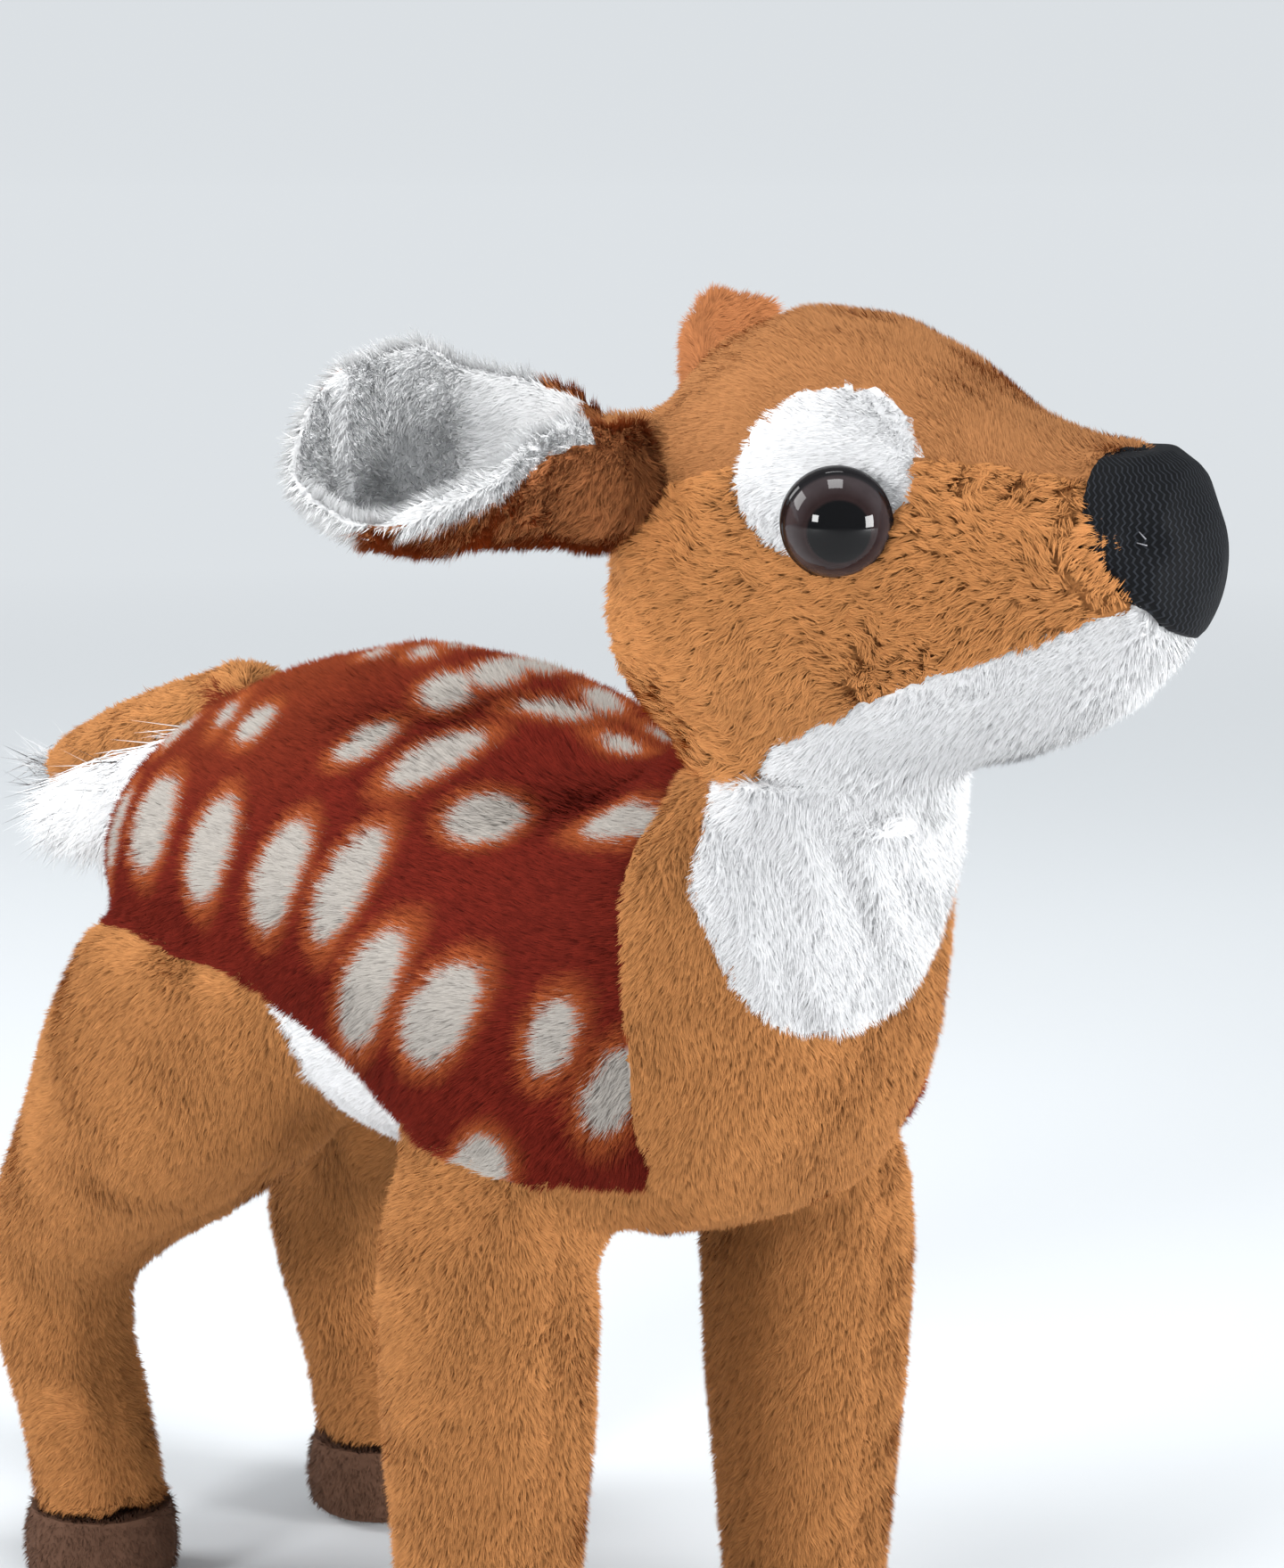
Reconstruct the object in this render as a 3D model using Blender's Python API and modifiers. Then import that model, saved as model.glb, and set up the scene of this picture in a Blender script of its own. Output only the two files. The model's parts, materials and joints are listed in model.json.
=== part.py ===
"""A standing plush fawn, its head turned to its left: sewn plush panels over fibre filling.

Metres. +X is ahead, +Y is the fawn's left and +Z is up. It is laid out about the front legs' axis
on the floor, and at the end a root empty puts the middle of its bounding box on the origin.
The head is laid out about the neck's axis, with X along the muzzle, and a turned empty carries it.
"""

import math

import bmesh
import bpy
import numpy as np
from mathutils import Matrix, Vector
from mathutils.bvhtree import BVHTree

# Trunk and neck
BELLY_HEIGHT = 0.084
TRUNK_LENGTH = 0.152
TRUNK_DEPTH = 0.075
TRUNK_WIDTH = 0.082
NECK_AHEAD = 0.0385
NECK_RISE = 0.0695
NECK_RADIUS = 0.021
BIB_BACK = 0.038
BELLY_SEAM_AHEAD = 0.0165

# Head
HEAD_LENGTH = 0.090
HEAD_HEIGHT = 0.062
HEAD_WIDTH = 0.060
HEAD_TURN = math.radians(27)

# Fabric and seams
SKIN = 0.0020
SEAM_GAP = 0.0003
EAR_CLOTH = 0.0013

# Eyes and their lock washers
EYE_RADIUS = 0.0070
EYE_DOME = 0.0048
EYE_RIM = 0.0009
EYE_AHEAD = 0.0120
EYE_RISE = 0.0368
SHANK_RADIUS = 0.0020
SHANK_LENGTH = 0.0090
WASHER_RADIUS = 0.0058
WASHER_THICKNESS = 0.0014
PATCH_LENGTH = 0.0224
PATCH_HEIGHT = 0.0212
PATCH_LIFT = 0.0052
PATCH_SET_BACK = 0.0030

# Nose
NOSE_WIDTH = 0.0285
NOSE_TOP = 0.0440
NOSE_HEIGHT = 0.0240
NOSE_DEPTH = 0.0145

# Ears
EAR_LENGTH = 0.0515
EAR_WIDTH = 0.046
EAR_BACK = 0.0210
EAR_OUT = 0.0190
EAR_RISE = 0.0385
EAR_SWEEP_RIGHT = math.radians(29)
EAR_SWEEP_LEFT = math.radians(10)
EAR_LIFT_RIGHT = math.radians(6)
EAR_LIFT_LEFT = math.radians(2)
EAR_ROLL = math.radians(32)
EAR_POCKET = 0.0095
EAR_POCKET_END = 0.0020

# Tail
TAIL_LENGTH = 0.060
TAIL_WIDTH = 0.021
TAIL_DEPTH = 0.0170
TAIL_DROOP = math.radians(19)
TAIL_ROOT_BACK = 0.1015
TAIL_ROOT_RISE = 0.0535
TAIL_SEAM_RISE = -0.0052
TAIL_POCKET_GAP = 0.0006
TAIL_DROP = math.radians(12)

# Legs
FRONT_LEG_SPACING = 0.058
REAR_LEG_SPACING = 0.054
FRONT_LEG_WIDTH = 0.034
WHEELBASE = 0.104
THIGH_LENGTH = 0.064
THIGH_WIDTH = 0.034
HOOF_HEIGHT = 0.014

# How finely the forms are faceted
TRUNK_SIDES = 20
HEAD_SIDES = 20
LEG_SIDES = 14
TAIL_SIDES = 12
EYE_SIDES = 20
EYE_STEPS = 6
PATCH_SIDES = 28
EAR_COLUMNS = 12

# Cutters run past what they cut by this much
OVERRUN = 0.02
# The cutter above the neck is wider than the neck by this much all round
OVER_NECK = 0.005
# Points nearer than this are one point
WELD = 0.00001
# How finely a seam is drawn between its rows
SEAM_STEPS = 2

# Each row: top point and bottom point of a section, its half width, and the powers that square its
# upper and lower half.
# Trunk: x by the trunk's length, z by its depth above the belly, width by half its width.
TRUNK_SHARES = (
    (-0.722, 0.500, -0.722, 0.500, 0.0, 1.0, 1.0),
    (-0.704, 0.655, -0.726, 0.370, 0.330, 1.0, 1.0),
    (-0.645, 0.770, -0.690, 0.220, 0.660, 1.1, 0.95),
    (-0.536, 0.868, -0.575, 0.100, 0.890, 1.2, 0.88),
    (-0.375, 0.957, -0.382, 0.013, 0.976, 1.3, 0.84),
    (-0.211, 0.965, -0.197, 0.000, 1.000, 1.3, 0.82),
    (-0.092, 0.920, -0.013, -0.020, 0.990, 1.3, 0.78),
    (-0.020, 0.880, 0.118, -0.035, 0.930, 1.2, 0.80),
    (0.023, 0.872, 0.210, 0.045, 0.850, 1.1, 0.88),
    (0.056, 0.876, 0.270, 0.225, 0.770, 1.0, 0.94),
    (0.082, 0.889, 0.299, 0.440, 0.700, 1.0, 0.97),
    (0.102, 0.907, 0.340, 0.680, 0.630, 1.0, 1.0),
)
# Head: x by its length ahead of the neck's axis, z by its height above the neck seam.
HEAD_SHARES = (
    (-0.312, 0.395, -0.312, 0.395, 0.0, 1.0, 1.0),
    (-0.298, 0.589, -0.298, 0.202, 0.400, 1.0, 1.0),
    (-0.256, 0.758, -0.262, 0.065, 0.700, 1.0, 1.0),
    (-0.165, 0.919, -0.185, -0.008, 0.900, 1.0, 0.97),
    (-0.040, 1.000, -0.060, -0.032, 1.000, 1.0, 0.95),
    (0.095, 0.984, 0.085, -0.032, 0.983, 1.0, 0.95),
    (0.215, 0.903, 0.215, -0.016, 0.883, 0.97, 0.95),
    (0.310, 0.798, 0.318, 0.016, 0.733, 0.94, 0.94),
    (0.403, 0.755, 0.412, 0.073, 0.610, 0.90, 0.92),
    (0.492, 0.745, 0.492, 0.150, 0.510, 0.88, 0.90),
    (0.560, 0.685, 0.555, 0.250, 0.400, 0.92, 0.92),
    (0.596, 0.580, 0.591, 0.363, 0.233, 1.0, 1.0),
    (0.610, 0.468, 0.610, 0.468, 0.0, 1.0, 1.0),
)
# Front leg: height by the belly's height, then half length and half width by half the leg's width.
FRONT_LEG_SHARES = (
    (1.310, 0.72, 0.20),
    (1.190, 0.88, 0.36),
    (1.090, 1.06, 0.60),
    (0.990, 1.10, 0.82),
    (0.860, 1.07, 0.95),
    (0.640, 0.97, 0.94),
    (0.400, 0.86, 0.84),
    (0.230, 0.78, 0.77),
    (0.100, 0.80, 0.79),
)
# Rear leg: height by the belly's height, x by the wheelbase, half length by half the thigh's length
# half width by half the thigh's width, and the power that squares the section.
REAR_LEG_SHARES = (
    (1.430, -0.590, 0.78, 0.70, 0.85),
    (1.310, -0.625, 1.00, 0.98, 0.80),
    (1.190, -0.672, 1.07, 1.06, 0.80),
    (1.090, -0.725, 1.06, 1.08, 0.85),
    (0.976, -0.785, 1.03, 1.06, 0.92),
    (0.833, -0.910, 0.90, 0.94, 1.0),
    (0.690, -1.048, 0.65, 0.81, 1.0),
    (0.571, -1.128, 0.44, 0.73, 1.0),
    (0.452, -1.111, 0.37, 0.69, 1.0),
    (0.298, -1.048, 0.355, 0.67, 1.0),
    (0.100, -1.005, 0.380, 0.71, 1.0),
)
# Hoof: height by its own height, then both half sizes by those of the leg where they meet.
HOOF_SHARES = ((1.0, 1.0), (0.80, 1.06), (0.45, 1.10), (0.14, 1.04), (0.0, 0.90))
# Tail: distance by its length, half width, half depth.
TAIL_SHARES = (
    (0.06, 0.86, 0.97),
    (0.20, 0.98, 0.98),
    (0.42, 1.00, 0.96),
    (0.64, 0.93, 0.86),
    (0.82, 0.76, 0.70),
    (0.94, 0.50, 0.46),
)
# Behind the hinge the tail's side view is a half circle: turns back from it, half width.
TAIL_ROOT_SHARES = ((0.19, 0.45), (0.10, 0.68), (0.0, 0.82))
# Ear: distance by its length, width of its cloth and rise of its middle by its width, the share of the
# cloth above the fold, and how far each edge curls forward, in turns, above and below the fold.
EAR_SHARES = (
    (-0.03, 0.86, 0.000, 0.36, 0.12, 0.55),
    (0.10, 0.94, 0.050, 0.38, 0.12, 0.51),
    (0.24, 0.98, 0.100, 0.41, 0.12, 0.46),
    (0.38, 1.02, 0.120, 0.45, 0.12, 0.40),
    (0.52, 1.02, 0.125, 0.50, 0.12, 0.35),
    (0.66, 0.93, 0.100, 0.54, 0.11, 0.31),
    (0.80, 0.73, 0.060, 0.56, 0.10, 0.26),
    (0.91, 0.47, 0.020, 0.55, 0.08, 0.20),
    (0.975, 0.23, 0.000, 0.50, 0.07, 0.16),
)

# Seams in side view, x and z by the same sizes as the sections that they cross.
SADDLE_SEAM_SHARES = (
    (-0.80, 0.36),
    (-0.66, 0.36),
    (-0.50, 0.385),
    (-0.35, 0.392),
    (-0.22, 0.360),
    (-0.14, 0.300),
    (-0.09, 0.190),
    (-0.03, 0.150),
    (0.08, 0.140),
    (0.178, 0.135),
    (0.190, 0.250),
    (0.196, 0.400),
    (0.190, 0.560),
    (0.176, 0.690),
    (0.176, 0.770),
    (0.186, 0.850),
    (0.190, 0.930),
    (0.190, 1.100),
)
# Far enough above or below for a region's edge to clear its form
ROOF_SHARE = 2.0
CROWN_SEAM_SHARES = (
    (-0.42, 0.535),
    (-0.26, 0.570),
    (-0.14, 0.635),
    (-0.02, 0.690),
    (0.12, 0.708),
    (0.25, 0.700),
    (0.34, 0.685),
    (0.43, 0.668),
    (0.50, 0.657),
    (0.62, 0.645),
)
CHIN_SEAM_SHARES = (
    (-0.035, -0.10),
    (-0.020, 0.02),
    (0.010, 0.085),
    (0.130, 0.165),
    (0.280, 0.265),
    (0.420, 0.350),
    (0.550, 0.415),
    (0.700, 0.470),
)
# Front views: half width by half the neck's width, height by the trunk's depth.
BIB_SHARES = ((1.12, 1.10), (1.12, 0.80), (1.06, 0.68), (0.84, 0.545), (0.50, 0.452), (0.0, 0.425))
# The nose patch: half width and drop below its top edge.
NOSE_SHARES = (
    (0.00, -0.010),
    (0.50, 0.010),
    (0.80, 0.100),
    (0.95, 0.280),
    (1.00, 0.540),
    (0.80, 0.770),
    (0.45, 0.930),
    (0.00, 1.010),
)

NECK_SEAM_HEIGHT = BELLY_HEIGHT + NECK_RISE


def srgb(red, green, blue):
    """A display colour, each channel 0 to 1, as the linear colour that a shader takes."""
    return tuple(c / 12.92 if c <= 0.04045 else ((c + 0.055) / 1.055) ** 2.4 for c in (red, green, blue))


CROWN_BROWN = srgb(0.70, 0.45, 0.27)
TAN = srgb(0.77, 0.55, 0.33)
SADDLE_RED = srgb(0.47, 0.18, 0.12)
WHITE = srgb(0.94, 0.95, 0.96)
BLACK_TWILL = srgb(0.10, 0.105, 0.12)
EYE_BLACK = srgb(0.05, 0.04, 0.045)
HOOF_BROWN = srgb(0.25, 0.15, 0.11)
FIBRE = srgb(0.96, 0.96, 0.94)
WASHER_WHITE = srgb(0.88, 0.88, 0.86)


def clear_scene():
    for old in list(bpy.data.objects):
        bpy.data.objects.remove(old)


def new_collection(name, hidden=False):
    collection = bpy.data.collections.new(name)
    collection.hide_render = hidden
    bpy.context.scene.collection.children.link(collection)
    return collection


def new_material(name, color, roughness):
    material = bpy.data.materials.new(name)
    material.use_nodes = True
    shader = material.node_tree.nodes["Principled BSDF"]
    shader.inputs["Base Color"].default_value = (*color, 1)
    shader.inputs["Roughness"].default_value = roughness
    shader.inputs["Metallic"].default_value = 0
    material.diffuse_color = (*color, 1)
    return material


def new_object(name, mesh, collection):
    obj = bpy.data.objects.new(name, mesh)
    collection.objects.link(obj)
    return obj


def through_points(rows, steps):
    """The rows, with steps rows from each to the next along a smooth curve through them all."""
    rows = np.array(rows, float)
    padded = np.vstack([2 * rows[0] - rows[1], rows, 2 * rows[-1] - rows[-2]])
    smooth = []
    for before, start, end, after in zip(padded, padded[1:], padded[2:], padded[3:]):
        for step in range(steps):
            t = step / steps
            smooth.append(
                0.5
                * (
                    2 * start
                    + (end - before) * t
                    + (2 * before - 5 * start + 4 * end - after) * t**2
                    + (3 * start - before - 3 * end + after) * t**3
                )
            )
    smooth.append(rows[-1])
    return np.array(smooth)


def squared(value, power):
    return math.copysign(abs(value) ** power, value)


def loft(name, rings, sides, collection):
    """A closed form through rings, each a centre, two half axes and the powers that square its halves.

    A ring with no size is a point.
    """
    mesh = bmesh.new()
    loops = []
    for centre, first, second, upper_power, lower_power in rings:
        if first.length + second.length == 0:
            loops.append([mesh.verts.new(centre)])
            continue
        loop = []
        for k in range(sides):
            angle = math.tau * k / sides
            power = lower_power if 2 * k > sides else upper_power
            rise = squared(math.sin(angle), power)
            spread = squared(math.cos(angle), power)
            loop.append(mesh.verts.new(centre + first * rise + second * spread))
        loops.append(loop)
    for one, other in zip(loops, loops[1:]):
        for k in range(sides):
            corners = [one[k % len(one)], one[(k + 1) % len(one)], other[(k + 1) % len(other)], other[k % len(other)]]
            mesh.faces.new(list(dict.fromkeys(corners)))
    for end in (loops[0], loops[-1]):
        if len(end) > 1:
            mesh.faces.new(end)
    bmesh.ops.recalc_face_normals(mesh, faces=mesh.faces)
    bmesh.ops.triangulate(mesh, faces=mesh.faces, quad_method="SHORT_EDGE")
    data = bpy.data.meshes.new(name)
    mesh.to_mesh(data)
    mesh.free()
    return new_object(name, data, collection)


def copy_of(obj, name):
    return new_object(name, obj.data.copy(), obj.users_collection[0])


def grow(obj, by):
    """Moves every point out along its normal, or in where by is negative."""
    mesh = bmesh.new()
    mesh.from_mesh(obj.data)
    mesh.normal_update()
    moves = [(vertex, vertex.normal * by) for vertex in mesh.verts]
    for vertex, move in moves:
        vertex.co += move
    mesh.to_mesh(obj.data)
    mesh.free()
    return obj


def prism(name, outline, depth, placement, collection):
    """A flat outline, extruded depth each way from its plane, as a mesh put in place by a matrix."""
    curve = bpy.data.curves.new(name, "CURVE")
    curve.dimensions = "2D"
    curve.fill_mode = "BOTH"
    curve.extrude = depth
    spline = curve.splines.new("POLY")
    spline.points.add(len(outline) - 1)
    for point, (x, y) in zip(spline.points, outline):
        point.co = (x, y, 0, 1)
    spline.use_cyclic_u = True
    guide = new_object(name, curve, collection)
    bpy.context.view_layer.update()
    graph = bpy.context.evaluated_depsgraph_get()
    data = bpy.data.meshes.new_from_object(guide.evaluated_get(graph))
    bpy.data.objects.remove(guide)
    mesh = bmesh.new()
    mesh.from_mesh(data)
    bmesh.ops.remove_doubles(mesh, verts=mesh.verts, dist=WELD)
    mesh.transform(placement)
    bmesh.ops.recalc_face_normals(mesh, faces=mesh.faces)
    mesh.to_mesh(data)
    mesh.free()
    return new_object(name, data, collection)


def cylinder(name, radius, low, high, placement, sides, collection):
    """A round bar from low to high along the placement's Z."""
    mesh = bmesh.new()
    bmesh.ops.create_cone(
        mesh,
        cap_ends=True,
        segments=sides,
        radius1=radius,
        radius2=radius,
        depth=high - low,
        matrix=placement @ Matrix.Translation((0, 0, (low + high) / 2)),
    )
    data = bpy.data.meshes.new(name)
    mesh.to_mesh(data)
    mesh.free()
    return new_object(name, data, collection)


def block(name, low, high, collection):
    """A box between two corners."""
    mesh = bmesh.new()
    bmesh.ops.create_cube(mesh, size=1)
    sizes = Vector(high) - Vector(low)
    middle = (Vector(high) + Vector(low)) / 2
    mesh.transform(Matrix.Translation(middle) @ Matrix.Diagonal((*sizes, 1)))
    data = bpy.data.meshes.new(name)
    mesh.to_mesh(data)
    mesh.free()
    return new_object(name, data, collection)


def applied(obj):
    """The object with its modifiers applied, and with points that rounding has parted welded again."""
    bpy.context.view_layer.update()
    graph = bpy.context.evaluated_depsgraph_get()
    data = bpy.data.meshes.new_from_object(obj.evaluated_get(graph))
    mesh = bmesh.new()
    mesh.from_mesh(data)
    bmesh.ops.remove_doubles(mesh, verts=mesh.verts, dist=WELD)
    mesh.to_mesh(data)
    mesh.free()
    obj.modifiers.clear()
    obj.data = data
    return obj


def combine(obj, others, operation):
    """Applies one Boolean with each of the others in turn."""
    for other in others:
        modifier = obj.modifiers.new(operation, "BOOLEAN")
        modifier.operation = operation
        modifier.solver = "EXACT"
        modifier.object = other
    return applied(obj)


def cut(obj, *cutters):
    return combine(obj, cutters, "DIFFERENCE")


def keep(obj, region):
    return combine(obj, [region], "INTERSECT")


def grown(region, name):
    """A cutter that is one seam gap larger than the region."""
    return grow(copy_of(region, name), SEAM_GAP)


def finish(obj, name, material, parts, parent):
    """Makes a shape one of the named parts."""
    obj.name = name
    obj.data.name = name
    for collection in list(obj.users_collection):
        collection.objects.unlink(obj)
    parts.objects.link(obj)
    obj.data.materials.clear()
    obj.data.materials.append(material)
    obj.data.shade_smooth()
    obj.data.set_sharp_from_angle(angle=math.radians(45))
    obj.parent = parent
    return obj


SIDE_VIEW = Matrix(((1, 0, 0, 0), (0, 0, -1, 0), (0, 1, 0, 0), (0, 0, 0, 1)))
FRONT_VIEW = Matrix(((0, 0, 1, 0), (1, 0, 0, 0), (0, 1, 0, 0), (0, 0, 0, 1)))


def trunk_point(x_share, z_share):
    return x_share * TRUNK_LENGTH, BELLY_HEIGHT + z_share * TRUNK_DEPTH


def head_point(x_share, z_share):
    return x_share * HEAD_LENGTH, z_share * HEAD_HEIGHT


def section_rings(rows):
    """Rings across the plane of symmetry, from rows of top point, bottom point, half width and powers."""
    rings = []
    for top_x, top_z, bottom_x, bottom_z, half_width, *powers in rows:
        top = Vector((top_x, 0, top_z))
        bottom = Vector((bottom_x, 0, bottom_z))
        rings.append(((top + bottom) / 2, (top - bottom) / 2, Vector((0, half_width, 0)), *powers))
    return rings


def trunk_form(inset, helpers):
    """Rump, belly, chest and neck in one swelling form, which runs on above the neck seam."""
    rows = []
    for top_x, top_z, bottom_x, bottom_z, width, *powers in TRUNK_SHARES:
        top = trunk_point(top_x, top_z)
        rows.append((*top, *trunk_point(bottom_x, bottom_z), width * TRUNK_WIDTH / 2, *powers))
    for height in (NECK_SEAM_HEIGHT, NECK_SEAM_HEIGHT + OVERRUN):
        rows.append((NECK_AHEAD - NECK_RADIUS, height, NECK_AHEAD + NECK_RADIUS, height, NECK_RADIUS, 1, 1))
    return grow(loft("trunk", section_rings(rows), TRUNK_SIDES, helpers), -inset)


def over_neck(helpers):
    """Everything above the neck seam."""
    middle = Vector((NECK_AHEAD, 0, NECK_SEAM_HEIGHT))
    reach = Vector((NECK_RADIUS + OVER_NECK, NECK_RADIUS + OVER_NECK, 0))
    return block("over_neck", middle - reach, middle + reach + Vector((0, 0, 2 * OVERRUN)), helpers)


def head_form(inset, helpers):
    """Skull, cheeks and muzzle, with a round stub that runs on below the neck seam."""
    rows = []
    for top_x, top_z, bottom_x, bottom_z, width, *powers in HEAD_SHARES:
        top = head_point(top_x, top_z)
        rows.append((*top, *head_point(bottom_x, bottom_z), width * HEAD_WIDTH / 2, *powers))
    form = grow(loft("head", section_rings(rows), HEAD_SIDES, helpers), -inset)
    stub = cylinder("stub", NECK_RADIUS - inset, -OVERRUN, HEAD_HEIGHT / 3, Matrix(), TRUNK_SIDES, helpers)
    return combine(form, [stub], "UNION")


def under_head(helpers):
    """Everything below the neck seam, with its gap."""
    reach = Vector((HEAD_LENGTH, HEAD_LENGTH, 0))
    return block("under_head", -reach - Vector((0, 0, 2 * OVERRUN)), reach + Vector((0, 0, SEAM_GAP)), helpers)


def front_leg_rings(side):
    rings = []
    half = FRONT_LEG_WIDTH / 2
    for height, length, width in FRONT_LEG_SHARES:
        centre = Vector((0, side * FRONT_LEG_SPACING / 2, height * BELLY_HEIGHT))
        rings.append((centre, Vector((length * half, 0, 0)), Vector((0, width * half, 0)), 1, 1))
    return rings


def rear_leg_rings(side):
    rings = []
    for height, back, length, width, power in REAR_LEG_SHARES:
        centre = Vector((back * WHEELBASE, side * REAR_LEG_SPACING / 2, height * BELLY_HEIGHT))
        lengthwise = Vector((length * THIGH_LENGTH / 2, 0, 0))
        rings.append((centre, lengthwise, Vector((0, width * THIGH_WIDTH / 2, 0)), power, power))
    return rings


def between(rings, height):
    """The ring at one height, read along the rings above and below it."""
    for upper, lower in zip(rings, rings[1:]):
        if upper[0].z >= height >= lower[0].z:
            t = (upper[0].z - height) / (upper[0].z - lower[0].z)
            return tuple(a.lerp(b, t) for a, b in zip(upper[:3], lower[:3]))
    raise ValueError("no ring spans that height")


def leg_form(rings, inset, helpers):
    return grow(loft("leg", rings, LEG_SIDES, helpers), -inset)


def side_region(name, shares, point, edge_share, helpers):
    """The prism between a seam drawn in side view and a level far above or below it."""
    seam = [point(*row) for row in through_points(shares, SEAM_STEPS)]
    edge = point(0, edge_share)[1]
    return prism(name, [*seam, (seam[-1][0], edge), (seam[0][0], edge)], TRUNK_WIDTH, SIDE_VIEW, helpers)


class Surface:
    """Answers where a form's surface lies, and which way it faces."""

    def __init__(self, obj):
        mesh = bmesh.new()
        mesh.from_mesh(obj.data)
        self.tree = BVHTree.FromBMesh(mesh)
        mesh.free()

    def seat(self, x, z, side, reach):
        """The outermost point at x, z on one side, and the mean way that the surface faces around it."""
        start = Vector((x, side * HEAD_WIDTH, z))
        inward = Vector((0, -side, 0))
        normal = Vector((0, 0, 0))
        for step_x in (-reach, 0, reach):
            for step_z in (-reach, 0, reach):
                normal += self.tree.ray_cast(start + Vector((step_x, 0, step_z)), inward)[1]
        return self.tree.ray_cast(start, inward)[0], normal.normalized()


def frame_at(point, along):
    """A placement with its Z along a direction."""
    x_axis = Vector((0, 0, 1)).cross(along).normalized()
    return Matrix.Translation(point) @ Matrix((x_axis, along.cross(x_axis), along)).transposed().to_4x4()


def turned(name, profile, ring, sides, helpers):
    """A turned solid from a profile of radius and height, top to bottom. A ring's profile is a loop."""
    data = bpy.data.meshes.new(name)
    edges = [(k, (k + 1) % len(profile)) for k in range(len(profile) - (not ring))]
    data.from_pydata([(radius, 0, height) for radius, height in profile], edges, [])
    obj = new_object(name, data, helpers)
    screw = obj.modifiers.new("turn", "SCREW")
    screw.steps = sides
    screw.render_steps = sides
    screw.use_merge_vertices = True
    screw.merge_threshold = WELD
    return applied(obj)


def eye_profile():
    """A shallow dome over a rim, with its shank behind."""
    sphere = (EYE_RADIUS**2 + EYE_DOME**2) / (2 * EYE_DOME)
    half_angle = math.asin(EYE_RADIUS / sphere)
    profile = []
    for step in range(EYE_STEPS + 1):
        angle = half_angle * step / EYE_STEPS
        profile.append((sphere * math.sin(angle), EYE_DOME - sphere * (1 - math.cos(angle))))
    profile.append((EYE_RADIUS, -EYE_RIM))
    profile.append((SHANK_RADIUS, -EYE_RIM))
    profile.append((SHANK_RADIUS, -SHANK_LENGTH))
    profile.append((0, -SHANK_LENGTH))
    return profile


def washer_profile():
    """A ring on the shank, behind the fabric."""
    inner = SHANK_RADIUS + SEAM_GAP
    top = -SKIN - EYE_RIM - SEAM_GAP
    bottom = top - WASHER_THICKNESS
    return [(inner, top), (WASHER_RADIUS, top), (WASHER_RADIUS, bottom), (inner, bottom)]


def ear_frame(side):
    """The ear's root on the head, with X out of its cup and Z along it. Its hinge is the Y axis."""
    sweep = EAR_SWEEP_LEFT if side > 0 else EAR_SWEEP_RIGHT
    lift = EAR_LIFT_LEFT if side > 0 else EAR_LIFT_RIGHT
    along = Vector((-math.sin(sweep), side * math.cos(sweep), math.tan(lift))).normalized()
    facing = along.cross(Vector((0, 0, 1))).normalized() * side
    across = facing.cross(along) * side
    mouth = facing * math.cos(EAR_ROLL) + across * math.sin(EAR_ROLL)
    root = Vector((-EAR_BACK, side * EAR_OUT, EAR_RISE))
    turn = Matrix((mouth, along.cross(mouth), along)).transposed().to_4x4()
    return Matrix.Translation(root) @ turn


def ear_section(row, side, inward=0):
    """Points across the ear at one row: a fold whose edges curl towards X, the lower one further."""
    along, width, rise, upper, upper_curl, lower_curl = row
    step = width * EAR_WIDTH / EAR_COLUMNS
    folded_at = round((1 - upper) * EAR_COLUMNS)
    turns = []
    for column in range(EAR_COLUMNS + 1):
        if column < folded_at:
            turns.append(-lower_curl * math.tau * math.sin(math.pi / 2 * (1 - column / folded_at)))
        else:
            turns.append(upper_curl * math.tau * (column - folded_at) / (EAR_COLUMNS - folded_at))
    points = [(0, 0)]
    for turn, following in zip(turns, turns[1:]):
        x, y = points[-1]
        mean = (turn + following) / 2
        points.append((x + step * math.sin(mean), y + step * math.cos(mean)))
    middle_x = (max(x for x, y in points) + min(x for x, y in points)) / 2
    middle_y = (max(y for x, y in points) + min(y for x, y in points)) / 2 - rise * EAR_WIDTH
    section = []
    for turn, (x, y) in zip(turns, points):
        x += inward * math.cos(turn) - middle_x
        y -= inward * math.sin(turn) + middle_y
        section.append((x, -side * y, along * EAR_LENGTH))
    return section


def ear_leaf(name, side, layer, helpers):
    """One cloth of the ear: a folded leaf, closed by Solidify. Layer 1 lies inside layer 0 and stops short."""
    inward = layer * (EAR_CLOTH + SEAM_GAP)
    mesh = bmesh.new()
    grid = []
    rows = EAR_SHARES[: len(EAR_SHARES) - 2 * layer]
    for row in rows:
        grid.append([mesh.verts.new(point) for point in ear_section(row, side, inward)])
    for one, other in zip(grid, grid[1:]):
        for k in range(EAR_COLUMNS):
            mesh.faces.new((one[k], one[k + 1], other[k + 1], other[k]))
    if layer == 0:
        middle = sum((vertex.co for vertex in grid[-1]), Vector()) / len(grid[-1])
        tip = mesh.verts.new((middle.x, middle.y, EAR_LENGTH))
        for k in range(EAR_COLUMNS):
            mesh.faces.new((grid[-1][k], grid[-1][k + 1], tip))
    data = bpy.data.meshes.new(name)
    mesh.to_mesh(data)
    mesh.free()
    obj = new_object(name, data, helpers)
    solid = obj.modifiers.new("cloth", "SOLIDIFY")
    solid.thickness = EAR_CLOTH
    solid.offset = 0
    return applied(obj)


def tail_frame():
    """The tail's hinge, with X along the tail and Z up through it."""
    root = Vector((-TAIL_ROOT_BACK, 0, BELLY_HEIGHT + TAIL_ROOT_RISE))
    return Matrix.Translation(root) @ Matrix.Rotation(math.pi, 4, "Z") @ Matrix.Rotation(TAIL_DROOP, 4, "Y")


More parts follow.
